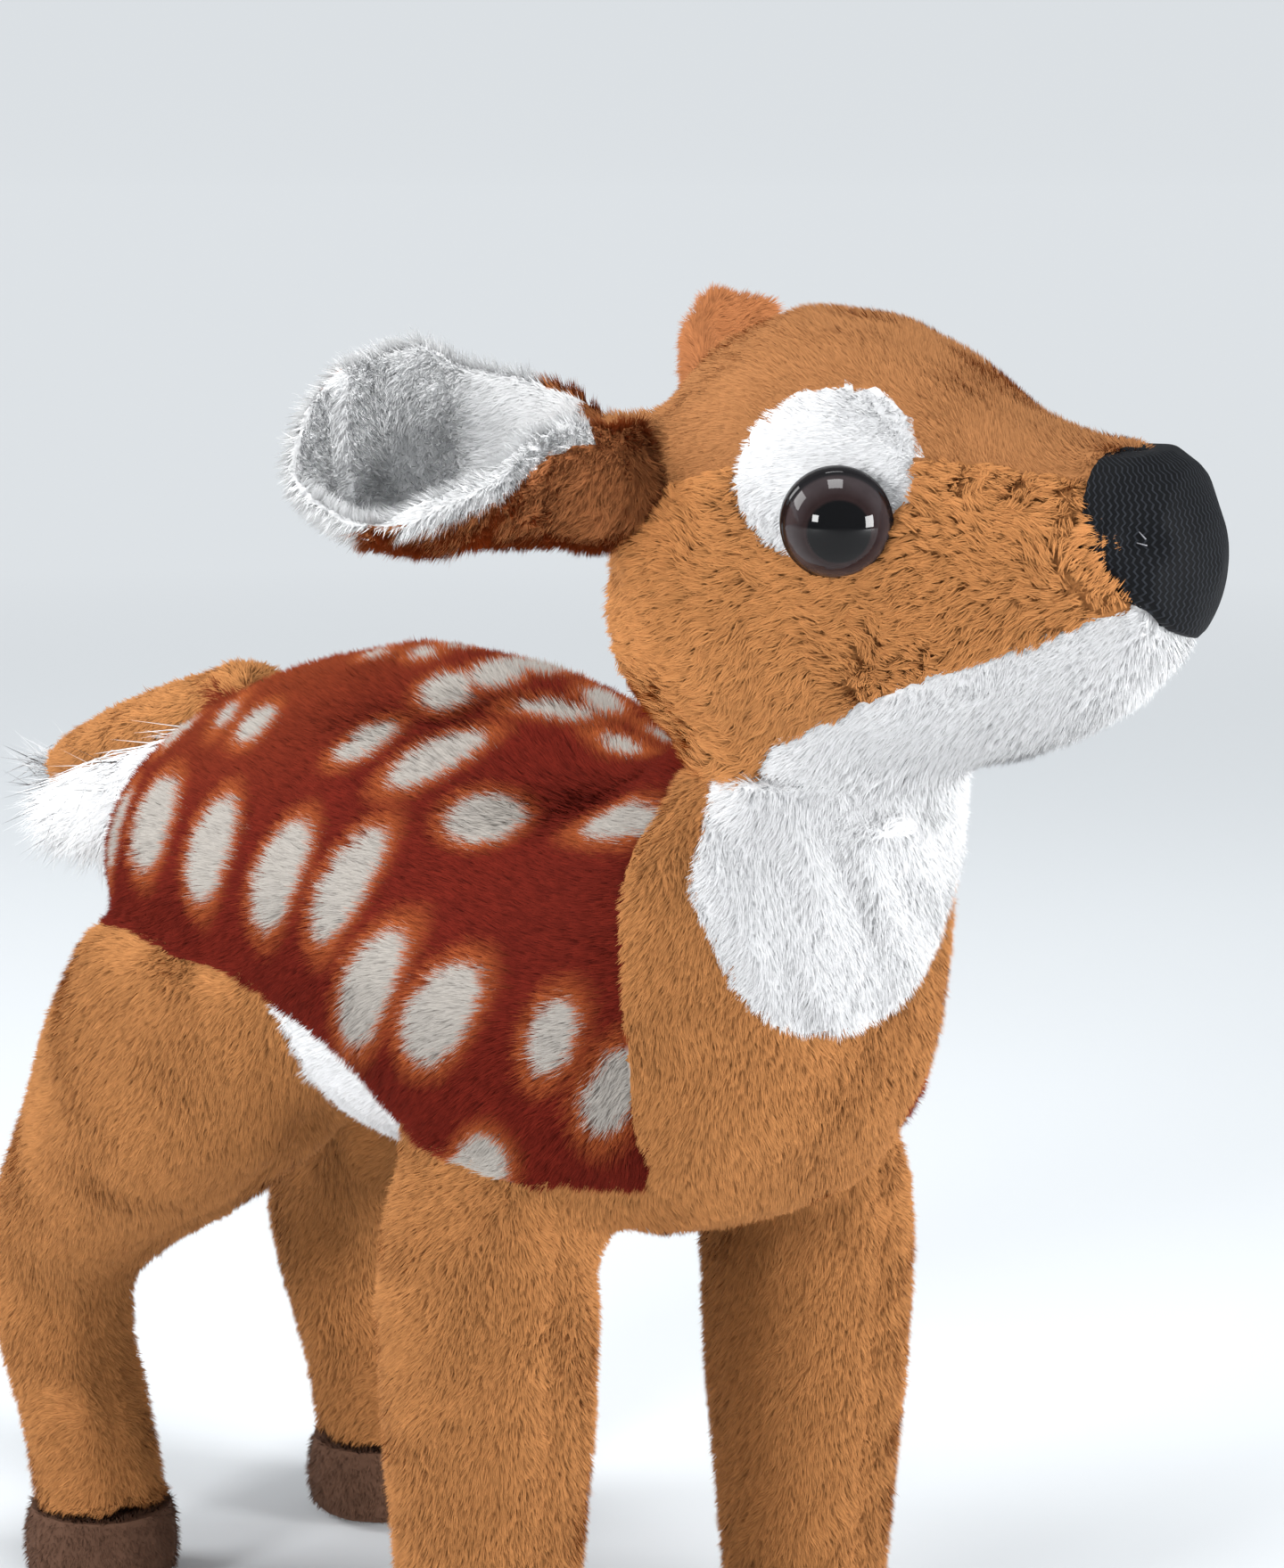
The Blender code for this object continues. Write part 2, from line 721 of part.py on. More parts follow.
def tail_form(helpers):
    """A blunt tail, round about its hinge at the root."""
    half_width = TAIL_WIDTH / 2
    half_depth = TAIL_DEPTH / 2
    nothing = Vector((0, 0, 0))
    rings = [(Vector((-half_depth, 0, 0)), nothing, nothing, 1, 1)]
    for turn, width in TAIL_ROOT_SHARES:
        angle = turn * math.tau
        centre = Vector((-half_depth * math.sin(angle), 0, 0))
        upward = Vector((0, 0, half_depth * math.cos(angle)))
        rings.append((centre, upward, Vector((0, width * half_width, 0)), 1, 1))
    for along, width, depth in TAIL_SHARES:
        upward = Vector((0, 0, depth * half_depth))
        rings.append((Vector((along * TAIL_LENGTH, 0, 0)), upward, Vector((0, width * half_width, 0)), 1, 1))
    rings.append((Vector((TAIL_LENGTH, 0, 0)), nothing, nothing, 1, 1))
    return loft("tail", rings, TAIL_SIDES, helpers)


def moved(obj, placement):
    obj.data.transform(placement)
    if placement.determinant() < 0:
        obj.data.flip_normals()
    return obj


def new_pivot(name, placement, parent, parts):
    pivot = bpy.data.objects.new(name, None)
    pivot.empty_display_size = HOOF_HEIGHT
    parts.objects.link(pivot)
    pivot.parent = parent
    pivot.matrix_local = placement
    return pivot


def build_tail(parts, helpers, root, materials):
    """The tail's tan top and white underside on their hinge. Returns what the rump is cut by."""
    frame = tail_frame()
    hinge = new_pivot("tail_hinge", frame, root, parts)
    form = tail_form(helpers)
    reach = Vector((2 * TAIL_LENGTH, TAIL_WIDTH, 0))
    seam = Vector((0, 0, TAIL_SEAM_RISE))
    gap = Vector((0, 0, SEAM_GAP / 2))
    height = Vector((0, 0, TAIL_WIDTH))
    upper = block("tail_upper", seam + gap - reach, reach + height, helpers)
    lower = block("tail_lower", -reach - height, seam - gap + reach, helpers)
    finish(keep(copy_of(form, "tail_top"), upper), "tail_top", materials["tan"], parts, hinge)
    finish(keep(copy_of(form, "tail_underside"), lower), "tail_underside", materials["white"], parts, hinge)
    sideways = Matrix.Rotation(math.pi / 2, 4, "X")
    half = TAIL_WIDTH / 2 + TAIL_POCKET_GAP
    pocket = cylinder("tail_pocket", TAIL_DEPTH / 2 + TAIL_POCKET_GAP, -half, half, frame @ sideways, TRUNK_SIDES, helpers)
    cutters = [pocket]
    for turn in (0, TAIL_DROP / 2, TAIL_DROP):
        clearance = grow(copy_of(form, "tail_clearance"), TAIL_POCKET_GAP)
        cutters.append(moved(clearance, frame @ Matrix.Rotation(turn, 4, "Y")))
    return cutters


def build_trunk(parts, helpers, root, materials, tail_cutters):
    """The saddle, chest, bib and belly panels, and the filling inside them."""
    above = over_neck(helpers)
    skin = cut(trunk_form(0, helpers), above, trunk_form(SKIN, helpers), *tail_cutters)
    saddle_region = side_region("saddle_region", SADDLE_SEAM_SHARES, trunk_point, ROOF_SHARE, helpers)
    belly_end = Vector((BELLY_SEAM_AHEAD, TRUNK_WIDTH, BELLY_HEIGHT + TRUNK_DEPTH / 2))
    belly_region = block("belly_region", Vector((-TRUNK_LENGTH, -TRUNK_WIDTH, 0)), belly_end, helpers)
    bib_outline = []
    for width, height in through_points(BIB_SHARES, SEAM_STEPS):
        bib_outline.append((width * NECK_RADIUS, BELLY_HEIGHT + height * TRUNK_DEPTH))
    bib_outline += [(-y, z) for y, z in reversed(bib_outline[:-1])]
    bib_place = Matrix.Translation((BIB_BACK + TRUNK_WIDTH, 0, 0)) @ FRONT_VIEW
    bib_region = prism("bib_region", bib_outline, TRUNK_WIDTH, bib_place, helpers)

    saddle = keep(copy_of(skin, "saddle"), saddle_region)
    rest = cut(skin, grown(saddle_region, "saddle_gap"))
    belly = keep(copy_of(rest, "belly"), belly_region)
    chest = cut(rest, grown(belly_region, "belly_gap"))
    bib = keep(copy_of(chest, "bib"), bib_region)
    cut(chest, grown(bib_region, "bib_gap"))
    filling = cut(trunk_form(SKIN + SEAM_GAP, helpers), above, *tail_cutters)

    finish(saddle, "saddle_panel", materials["saddle"], parts, root)
    finish(chest, "chest_panel", materials["tan"], parts, root)
    finish(bib, "bib_panel", materials["white"], parts, root)
    finish(belly, "belly_panel", materials["white"], parts, root)
    finish(filling, "body_stuffing", materials["fibre"], parts, root)


def build_leg(name, rings, side, trunk_clearance, parts, helpers, root, materials):
    """Outer and inner leg panels, their filling and the hoof."""
    floor_reach = Vector((TRUNK_LENGTH, TRUNK_LENGTH, 0))
    hoof_space = block("hoof_space", -floor_reach, floor_reach + Vector((0, 0, HOOF_HEIGHT + SEAM_GAP)), helpers)
    skin = cut(leg_form(rings, 0, helpers), trunk_clearance, hoof_space, leg_form(rings, SKIN, helpers))
    reach = Vector((TRUNK_LENGTH, 0, TRUNK_LENGTH))
    gap = Vector((0, side * SEAM_GAP / 2, 0))
    span = Vector((0, side * TRUNK_WIDTH, 0))
    seam = Vector((0, rings[0][0].y, 0))
    for panel, start, end in (("outer", seam + gap, seam + span), ("inner", seam - gap, seam - span)):
        low = [min(a, b) for a, b in zip(start - reach, end + reach)]
        high = [max(a, b) for a, b in zip(start - reach, end + reach)]
        half_space = block(panel + "_half", low, high, helpers)
        piece = keep(copy_of(skin, panel), half_space)
        finish(piece, f"{name}_{panel}_panel", materials["tan"], parts, root)
    filling = cut(leg_form(rings, SKIN + SEAM_GAP, helpers), trunk_clearance, hoof_space)
    finish(filling, name + "_stuffing", materials["fibre"], parts, root)

    centre, lengthwise, sideways = between(rings, HOOF_HEIGHT)
    hoof_rings = []
    for height, size in HOOF_SHARES:
        level = Vector((centre.x, centre.y, height * HOOF_HEIGHT))
        hoof_rings.append((level, lengthwise * size, sideways * size, 1, 1))
    hoof = loft(name + "_hoof", hoof_rings, LEG_SIDES, helpers)
    finish(hoof, name + "_hoof", materials["hoof"], parts, root)


def build_head(parts, helpers, neck, materials):
    """Six plush panels, the nose, the eyes with their washers, and the filling."""
    below = under_head(helpers)
    outside = head_form(0, helpers)
    surface = Surface(outside)
    skin = cut(outside, below, head_form(SKIN, helpers))
    filling = cut(head_form(SKIN + SEAM_GAP, helpers), below)

    eye_cutters = []
    filling_cutters = []
    for side, word in ((-1, "right"), (1, "left")):
        point, facing = surface.seat(EYE_AHEAD, EYE_RISE, side, EYE_RADIUS)
        seat = frame_at(point, facing)
        eye = moved(turned("eye", eye_profile(), False, EYE_SIDES, helpers), seat)
        finish(eye, "eye_" + word, materials["eye"], parts, neck)
        washer = moved(turned("washer", washer_profile(), True, EYE_SIDES, helpers), seat)
        finish(washer, "eye_washer_" + word, materials["washer"], parts, neck)
        rim = cylinder("eye_seat", EYE_RADIUS + SEAM_GAP, -EYE_RIM - SEAM_GAP, OVERRUN, seat, EYE_SIDES, helpers)
        hole_radius = SHANK_RADIUS + SEAM_GAP
        hole = cylinder("shank_hole", hole_radius, -OVERRUN, OVERRUN, seat, EYE_SIDES, helpers)
        eye_cutters += [rim, hole]
        pocket_radius = WASHER_RADIUS + SEAM_GAP
        pocket_floor = -SHANK_LENGTH - SEAM_GAP
        filling_cutters.append(
            cylinder("washer_pocket", pocket_radius, pocket_floor, OVERRUN, seat, EYE_SIDES, helpers)
        )

    ear_cutters = []
    for side in (-1, 1):
        sideways = Matrix.Rotation(math.pi / 2, 4, "X")
        widest = max(abs(y) for x, y, z in ear_section(EAR_SHARES[0], side))
        reach = widest + EAR_CLOTH + EAR_POCKET_END
        ear_cutters.append(
            cylinder("ear_pocket", EAR_POCKET, -reach, reach, ear_frame(side) @ sideways, EYE_SIDES, helpers)
        )
    cut(skin, *eye_cutters, *ear_cutters)
    cut(filling, *filling_cutters, *ear_cutters)

    nose_outline = []
    for width, drop in through_points(NOSE_SHARES, SEAM_STEPS):
        nose_outline.append((width * NOSE_WIDTH / 2, NOSE_TOP - drop * NOSE_HEIGHT))
    nose_outline += [(-y, z) for y, z in reversed(nose_outline[1:-1])]
    muzzle_end = HEAD_SHARES[-1][0] * HEAD_LENGTH
    nose_place = Matrix.Translation((muzzle_end - NOSE_DEPTH + HEAD_WIDTH, 0, 0)) @ FRONT_VIEW
    nose_region = prism("nose_region", nose_outline, HEAD_WIDTH, nose_place, helpers)
    patch_outline = []
    for k in range(PATCH_SIDES):
        angle = math.tau * k / PATCH_SIDES
        x = EYE_AHEAD - PATCH_SET_BACK + PATCH_LENGTH / 2 * math.cos(angle)
        patch_outline.append((x, EYE_RISE + PATCH_LIFT + PATCH_HEIGHT / 2 * math.sin(angle)))
    patch_region = prism("patch_region", patch_outline, HEAD_WIDTH, SIDE_VIEW, helpers)
    crown_region = side_region("crown_region", CROWN_SEAM_SHARES, head_point, ROOF_SHARE, helpers)
    chin_region = side_region("chin_region", CHIN_SEAM_SHARES, head_point, -ROOF_SHARE, helpers)
    halves = {}
    for side, word in ((-1, "right"), (1, "left")):
        edges = sorted((side * SEAM_GAP / 2, side * HEAD_LENGTH))
        low = Vector((-HEAD_LENGTH, edges[0], -HEAD_LENGTH))
        high = Vector((HEAD_LENGTH, edges[1], HEAD_LENGTH + HEAD_HEIGHT))
        halves[word] = block(word + "_half", low, high, helpers)

    nose = keep(copy_of(skin, "nose"), nose_region)
    cut(skin, grown(nose_region, "nose_gap"))
    patches = keep(copy_of(skin, "patches"), patch_region)
    cut(skin, grown(patch_region, "patch_gap"))
    crown = keep(copy_of(skin, "crown"), crown_region)
    cut(skin, grown(crown_region, "crown_gap"))
    chin = keep(copy_of(skin, "chin"), chin_region)
    cut(skin, grown(chin_region, "chin_gap"))

    finish(crown, "crown_panel", materials["crown"], parts, neck)
    finish(chin, "chin_panel", materials["white"], parts, neck)
    finish(nose, "nose_patch", materials["nose"], parts, neck)
    for word, half_space in halves.items():
        patch = keep(copy_of(patches, word), half_space)
        finish(patch, "eye_patch_" + word, materials["white"], parts, neck)
        cheek = keep(copy_of(skin, word), half_space)
        finish(cheek, "cheek_" + word, materials["tan"], parts, neck)
    finish(filling, "head_stuffing", materials["fibre"], parts, neck)


def build_ears(parts, helpers, neck, materials):
    for side, word in ((-1, "right"), (1, "left")):
        hinge = new_pivot(f"ear_{word}_hinge", ear_frame(side), neck, parts)
        finish(ear_leaf("outer", side, 0, helpers), f"ear_{word}_back", materials["crown"], parts, hinge)
        finish(ear_leaf("lining", side, 1, helpers), f"ear_{word}_lining", materials["white"], parts, hinge)


def centre_on_floor(parts, root):
    """Moves the root so that the middle of the bounding box is on the origin."""
    bpy.context.view_layer.update()
    corners = []
    for obj in parts.objects:
        if obj.type == "MESH":
            corners += [obj.matrix_world @ vertex.co for vertex in obj.data.vertices]
    points = np.array(corners)
    middle = (points.min(axis=0) + points.max(axis=0)) / 2
    root.location = (-middle[0], -middle[1], -points[:, 2].min())
    bpy.context.view_layer.update()


def main():
    clear_scene()
    parts = new_collection("plush_fawn")
    helpers = new_collection("cutters", hidden=True)
    materials = {
        "crown": new_material("crown_plush", CROWN_BROWN, 0.9),
        "tan": new_material("tan_plush", TAN, 0.9),
        "saddle": new_material("saddle_plush", SADDLE_RED, 0.9),
        "white": new_material("white_plush", WHITE, 0.9),
        "nose": new_material("nose_twill", BLACK_TWILL, 0.6),
        "eye": new_material("eye_plastic", EYE_BLACK, 0.08),
        "hoof": new_material("hoof_plush", HOOF_BROWN, 0.9),
        "fibre": new_material("fibre_filling", FIBRE, 1.0),
        "washer": new_material("washer_plastic", WASHER_WHITE, 0.4),
    }
    root = new_pivot("fawn", Matrix(), None, parts)
    neck_place = Matrix.Translation((NECK_AHEAD, 0, NECK_SEAM_HEIGHT)) @ Matrix.Rotation(HEAD_TURN, 4, "Z")
    neck = new_pivot("neck_axis", neck_place, root, parts)

    tail_cutters = build_tail(parts, helpers, root, materials)
    build_trunk(parts, helpers, root, materials, tail_cutters)
    trunk_clearance = trunk_form(-SEAM_GAP, helpers)
    for side, word in ((-1, "right"), (1, "left")):
        legs = ((f"front_leg_{word}", front_leg_rings(side)), (f"rear_leg_{word}", rear_leg_rings(side)))
        for name, rings in legs:
            build_leg(name, rings, side, trunk_clearance, parts, helpers, root, materials)
    build_head(parts, helpers, neck, materials)
    build_ears(parts, helpers, neck, materials)

    for helper in list(helpers.objects):
        bpy.data.objects.remove(helper)
    centre_on_floor(parts, root)
    for pivot in parts.objects:
        if pivot.type == "EMPTY":
            print(pivot.name, [round(value, 5) for row in pivot.matrix_world for value in row])


main()
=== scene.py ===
"""The plush fawn's looks: soft panels with their pile, eyes, nose, and the pale room it stands in."""

import json
import math

import bmesh
import bpy
import numpy as np
from bpy.props import FloatProperty, FloatVectorProperty, IntProperty, PointerProperty
from mathutils import Matrix, Vector
from mathutils.bvhtree import BVHTree
from mathutils.kdtree import KDTree


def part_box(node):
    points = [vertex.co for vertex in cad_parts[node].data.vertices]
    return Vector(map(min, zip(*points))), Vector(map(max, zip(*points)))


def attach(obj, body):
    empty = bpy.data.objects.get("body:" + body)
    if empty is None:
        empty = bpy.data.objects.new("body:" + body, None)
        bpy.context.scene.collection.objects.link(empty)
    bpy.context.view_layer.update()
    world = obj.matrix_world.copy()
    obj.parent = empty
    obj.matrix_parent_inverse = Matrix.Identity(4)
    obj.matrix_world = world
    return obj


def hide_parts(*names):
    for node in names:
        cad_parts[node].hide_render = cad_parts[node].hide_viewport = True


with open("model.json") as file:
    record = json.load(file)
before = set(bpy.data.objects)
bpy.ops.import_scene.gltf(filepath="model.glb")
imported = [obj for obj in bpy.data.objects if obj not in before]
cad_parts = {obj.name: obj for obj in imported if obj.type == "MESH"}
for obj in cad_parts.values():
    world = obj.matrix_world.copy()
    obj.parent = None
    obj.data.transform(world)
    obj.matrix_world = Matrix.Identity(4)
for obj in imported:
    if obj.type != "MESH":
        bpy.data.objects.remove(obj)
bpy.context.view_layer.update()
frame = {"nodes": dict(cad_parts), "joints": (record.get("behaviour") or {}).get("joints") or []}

bl_info = {
    "name": "Plush fawn looks",
    "version": (1, 0, 0),
    "blender": (4, 5, 0),
    "location": "View3D > Sidebar > Fawn",
    "description": "Dresses the plush fawn in pile and lights it",
    "category": "Object",
}

MM = 0.001
nodes = frame["nodes"]
joints = {joint["name"]: joint for joint in frame["joints"]}
neck = Vector(joints["head_turn"]["pos_m"])
# Where the front legs' axis meets the floor, from which the places below are measured
origin = neck - Vector((38.5 * MM, 0, 153.5 * MM))
middle_y = neck.y
HEAD_TURN = math.radians(27)
head_ahead = Vector((math.cos(HEAD_TURN), math.sin(HEAD_TURN), 0))
head_left = Vector((-math.sin(HEAD_TURN), math.cos(HEAD_TURN), 0))
UP = Vector((0, 0, 1))
LEGS = ("front_leg_left", "front_leg_right", "rear_leg_left", "rear_leg_right")

# Spots on the saddle's right side, mirrored on its left: centre in mm from the front legs' axis on the floor,
# half length and half width in mm, and the tilt in degrees from level.
SPOTS = (
    (-67, 21, 144, 4.6, 3.4, -48),
    (-38, 22, 147, 5.0, 3.6, 57),
    (-23, 20, 146, 7.6, 3.8, 62),
    (-34, 10, 154, 4.9, 3.8, -19),
    (-31, 3, 155, 4.2, 3.4, -20),
    (-16, 4, 152, 5.6, 2.4, 28),
    (-49, 3, 155, 2.6, 1.8, -17),
    (-59, 4, 153, 2.6, 1.8, -17),
    (-1, 4, 149, 4.4, 1.7, -2),
    (-7, 24, 141, 6.2, 4.4, 9),
    (22, 23, 146, 8.0, 2.6, 9),
    (-76, 34, 129, 7.4, 5.0, -60),
    (-57, 37, 129, 7.8, 5.2, -70),
    (-38, 38, 129, 7.9, 5.2, 90),
    (-23, 36, 130, 8.6, 4.6, 82),
    (-13, 41, 117, 10.2, 4.6, 54),
    (2, 39, 116, 8.8, 4.8, 46),
    (21, 34, 116, 5.5, 3.1, 67),
    (28, 30, 109, 5.9, 2.8, 67),
    (6, 33, 95, 6.6, 4.2, 45),
    (-78, 19, 144, 3.6, 1.6, -54),
    (-90, 27, 124, 6.0, 3.6, -65),
    (-92, 12, 131, 5.0, 3.4, -60),
)


class FawnCloth(bpy.types.PropertyGroup):
    voxel: FloatProperty(name="Cloth mesh", description="Size of the cloth's mesh", default=0.0022, unit="LENGTH")
    closing: FloatProperty(
        name="Closing", description="Half the widest gap that the cloth spans", default=0.003, unit="LENGTH"
    )
    backing: FloatProperty(
        name="Backing depth", description="How deep the backing lies in the pile", default=0.0016, unit="LENGTH"
    )
    skin: FloatProperty(name="Skin", description="Panel thickness over the filling", default=0.0023, unit="LENGTH")
    pressure: FloatProperty(name="Pressure", description="How hard the filling presses", default=4.0)
    swell: FloatProperty(name="Swell", description="The most that the cloth swells", default=0.0012, unit="LENGTH")
    seam_depth: FloatProperty(
        name="Seam depth", description="How far the seams are drawn in", default=0.0009, unit="LENGTH"
    )
    seam_width: FloatProperty(
        name="Seam width", description="How far the draw of a seam reaches", default=0.0026, unit="LENGTH"
    )


class FawnPile(bpy.types.PropertyGroup):
    density: FloatProperty(name="Density", description="Blades on each square millimetre", default=18.0)
    width: FloatProperty(name="Blade width", description="Width of a blade of pile", default=0.00024, unit="LENGTH")
    length: FloatProperty(name="Length", description="Multiplies the length of every pile", default=1.0)
    seed: IntProperty(name="Seed", description="Changes how the blades are scattered", default=7)


def colour_property(name, description, default):
    return FloatVectorProperty(name=name, description=description, default=default, subtype="COLOR", min=0, max=1)


class FawnColours(bpy.types.PropertyGroup):
    crown: colour_property("Crown", "Pile on the crown", (0.49, 0.210, 0.075))
    ear: colour_property("Ears", "Pile on the backs of the ears", (0.54, 0.195, 0.068))
    tan: colour_property("Tan", "Pile on the cheeks, chest and legs", (0.58, 0.242, 0.077))
    saddle: colour_property("Saddle", "Tips of the pile on the back", (0.175, 0.0145, 0.008))
    halo: colour_property("Halo", "Pile round each spot", (0.50, 0.120, 0.032))
    spot: colour_property("Spots", "Spots on the back", (0.48, 0.445, 0.41))
    white: colour_property("White", "Pile on the bib, chin, eye patches and tail", (0.84, 0.845, 0.855))
    # The linings' white is set paler than the white pile's, a painted light that makes up for the shade in the ears'
    # cups
    lining: colour_property("Linings", "Pile inside the ears", (0.95, 0.955, 0.96))
    hoof: colour_property("Hooves", "Pile on the hooves", (0.13, 0.065, 0.04))
    nose: colour_property("Nose", "Woven nose patch", (0.004, 0.0045, 0.0055))


class FawnStage(bpy.types.PropertyGroup):
    azimuth: FloatProperty(
        name="Azimuth", description="Camera's turn round the fawn", default=math.radians(52), subtype="ANGLE"
    )
    elevation: FloatProperty(
        name="Elevation", description="Camera's height as an angle", default=math.radians(12), subtype="ANGLE"
    )
    distance: FloatProperty(name="Distance", description="Camera's distance", default=0.746, unit="LENGTH")
    lens: FloatProperty(name="Lens", description="Camera's focal length in mm", default=148.75)
    floor: colour_property("Floor", "Colour of the floor", (0.755, 0.785, 0.81))
    wall: colour_property("Wall", "Colour of the wall", (0.705, 0.74, 0.77))


class Socket:
    """A node's output, on which Python's operators add Math nodes."""

    def __init__(self, shader, output):
        self.shader = shader
        self.output = output

    def maths(self, operation, *values):
        return self.shader.node("ShaderNodeMath", {"operation": operation}, dict(enumerate((self, *values))))

    def __add__(self, other):
        return self.maths("ADD", other)

    __radd__ = __add__

    def __sub__(self, other):
        return self.maths("SUBTRACT", other)

    def __rsub__(self, other):
        return self * -1 + other

    def __mul__(self, other):
        return self.maths("MULTIPLY", other)

    __rmul__ = __mul__

    def __truediv__(self, other):
        return self.maths("DIVIDE", other)

    def clamped(self):
        return self.maths("MAXIMUM", 0).maths("MINIMUM", 1)


class Shader:
    """A material's nodes, built up by calls."""

    def __init__(self, name, **settings):
        self.material = bpy.data.materials.new(name)
        self.material.use_nodes = True
        self.tree = self.material.node_tree
        self.surface = self.tree.nodes["Principled BSDF"]
        for socket, value in settings.items():
            self.set(socket, value)

    def plug(self, socket, value):
        if isinstance(value, Socket):
            self.tree.links.new(value.output, socket)
        elif socket.type == "RGBA":
            socket.default_value = (*value[:3], 1)
        else:
            socket.default_value = value

    def set(self, name, value):
        self.plug(self.surface.inputs[name.replace("_", " ")], value)

    def node(self, kind, settings=None, values=None, output=0):
        made = self.tree.nodes.new(kind)
        for name, value in (settings or {}).items():
            setattr(made, name, value)
        for key, value in (values or {}).items():
            self.plug(made.inputs[key], value)
        return Socket(self, made.outputs[output])

    def attribute(self, name, output="Fac"):
        return self.node("ShaderNodeAttribute", {"attribute_name": name}, output=output)

    def place(self):
        return self.node("ShaderNodeTexCoord", output="Object")

    def parts(self, vector):
        split = self.node("ShaderNodeSeparateXYZ", values={0: vector}).output.node
        return [Socket(self, output) for output in split.outputs]

    def dot(self, vector, along):
        return self.node("ShaderNodeVectorMath", {"operation": "DOT_PRODUCT"}, {0: vector, 1: along}, "Value")

    def blend(self, share, one, other):
        return self.node("ShaderNodeMix", {"data_type": "RGBA"}, {"Factor": share, 6: one, 7: other}, 2)

    def noise(self, vector, scale, detail=2):
        return self.node("ShaderNodeTexNoise", {}, {"Vector": vector, "Scale": scale, "Detail": detail}, "Fac")

    def bump(self, height, distance, strength=1.0):
        return self.node("ShaderNodeBump", {}, {"Height": height, "Distance": distance, "Strength": strength})


def link(obj):
    bpy.context.scene.collection.objects.link(obj)
    return obj


def applied(obj):
    """The object with its modifiers made part of its mesh."""
    bpy.context.view_layer.update()
    graph = bpy.context.evaluated_depsgraph_get()
    data = bpy.data.meshes.new_from_object(obj.evaluated_get(graph))
    obj.modifiers.clear()
    obj.data = data
    return obj


def unit(vectors):
    return vectors / np.maximum(np.linalg.norm(vectors, axis=-1, keepdims=True), 1e-12)


def vertex_values(mesh, field):
    values = np.empty(len(mesh.vertices) * 3)
    mesh.vertices.foreach_get(field, values)
    return values.reshape(-1, 3)


def points_of(mesh):
    return vertex_values(mesh, "co")


def normals_of(mesh):
    return vertex_values(mesh, "normal")


def set_points(mesh, points):
    mesh.vertices.foreach_set("co", points.ravel())
    mesh.update()


def set_numbers(mesh, name, values):
    """A number on each vertex, which a material reads."""
    mesh.attributes.new(name, "FLOAT", "POINT").data.foreach_set("value", values.astype(np.float32))


def mesh_of(shape, name):
    """A mesh from a finished bmesh."""
    data = bpy.data.meshes.new(name)
    shape.to_mesh(data)
    shape.free()
    return data


def plug_rod(middle, axis, radius, half):
    """A round bar that fills a pocket, as a mesh."""
    shape = bmesh.new()
    turn = Vector(axis).to_track_quat("Z", "Y").to_matrix().to_4x4()
    bmesh.ops.create_cone(
        shape,
        cap_ends=True,
        segments=24,
        radius1=radius,
        radius2=radius,
        depth=2 * half,
        matrix=Matrix.Translation(middle) @ turn,
    )
    return mesh_of(shape, "plug")


def plug_ball(middle, radius):
    """A ball that fills a pocket, as a mesh."""
    shape = bmesh.new()
    bmesh.ops.create_icosphere(shape, subdivisions=3, radius=radius, matrix=Matrix.Translation(middle))
    return mesh_of(shape, "plug")


def soft_form(name, meshes, growth, voxel, easing, offset):
    """A closed, eased surface round the meshes, offset from them. It spans gaps up to twice the growth."""
    whole = bmesh.new()
    for mesh in meshes:
        whole.from_mesh(mesh)
    bmesh.ops.remove_doubles(whole, verts=whole.verts, dist=0.01 * MM)
    form = link(bpy.data.objects.new(name, mesh_of(whole, name)))
    for title, kind, settings in (
        ("swell", "DISPLACE", {"mid_level": 0, "strength": growth}),
        ("close", "REMESH", {"mode": "VOXEL", "voxel_size": voxel}),
        ("ease", "SMOOTH", {"factor": 0.5, "iterations": easing}),
        ("shrink", "DISPLACE", {"mid_level": 0, "strength": offset - growth}),
        ("settle", "SMOOTH", {"factor": 0.5, "iterations": 2}),
    ):
        modifier = form.modifiers.new(title, kind)
        for setting, value in settings.items():
            setattr(modifier, setting, value)
    return applied(form)


def tree_of(names, rims=None):
    """The panels' faces in one search tree, with the panel number of each. Rims go to the panel beside them."""
    points = []
    faces = []
    owner = []
    for number, name in names:
        mesh = nodes[name].data
        start = len(points)
        points.extend(vertex.co.copy() for vertex in mesh.vertices)
        for face in mesh.polygons:
            faces.append([start + corner for corner in face.vertices])
            owner.append(number)
    if rims:
        back, lining, reach = rims
        beside, _ = tree_of([(lining, names[lining][1])])
        for k in np.flatnonzero(np.array(owner) == back):
            centre = sum((points[corner] for corner in faces[k]), Vector()) / 3
            if beside.find_nearest(centre)[3] < reach:
                owner[k] = lining
    return BVHTree.FromPolygons(points, faces), np.array(owner)


def rim_of(mesh, beside):
    """A leaf's rim as a search tree: the faces neither against its lining nor on its outer side."""
    points = [vertex.co.copy() for vertex in mesh.vertices]
    rim = []
    for face in mesh.polygons:
        if 0.5 * MM < beside.find_nearest(face.center)[3] < 1.15 * MM:
            rim.append(list(face.vertices))
    return BVHTree.FromPolygons(points, rim)


# In mm: where the rays that find an ear's panel start inside its wall, how far they reach, and their step past a face
WALL_START, WALL_REACH, WALL_STEP = 1.6, 3.2, 0.02
# In mm along an ear: where all of it is brown, and where all but its cup is, which faces inward by more than the share
EAR_ROOT, EAR_POCKET, EAR_POCKET_FACING = 4, 9, 0.2
# How squarely the end of a form faces its own way, to be of the second panel
END_FACING = 0.62


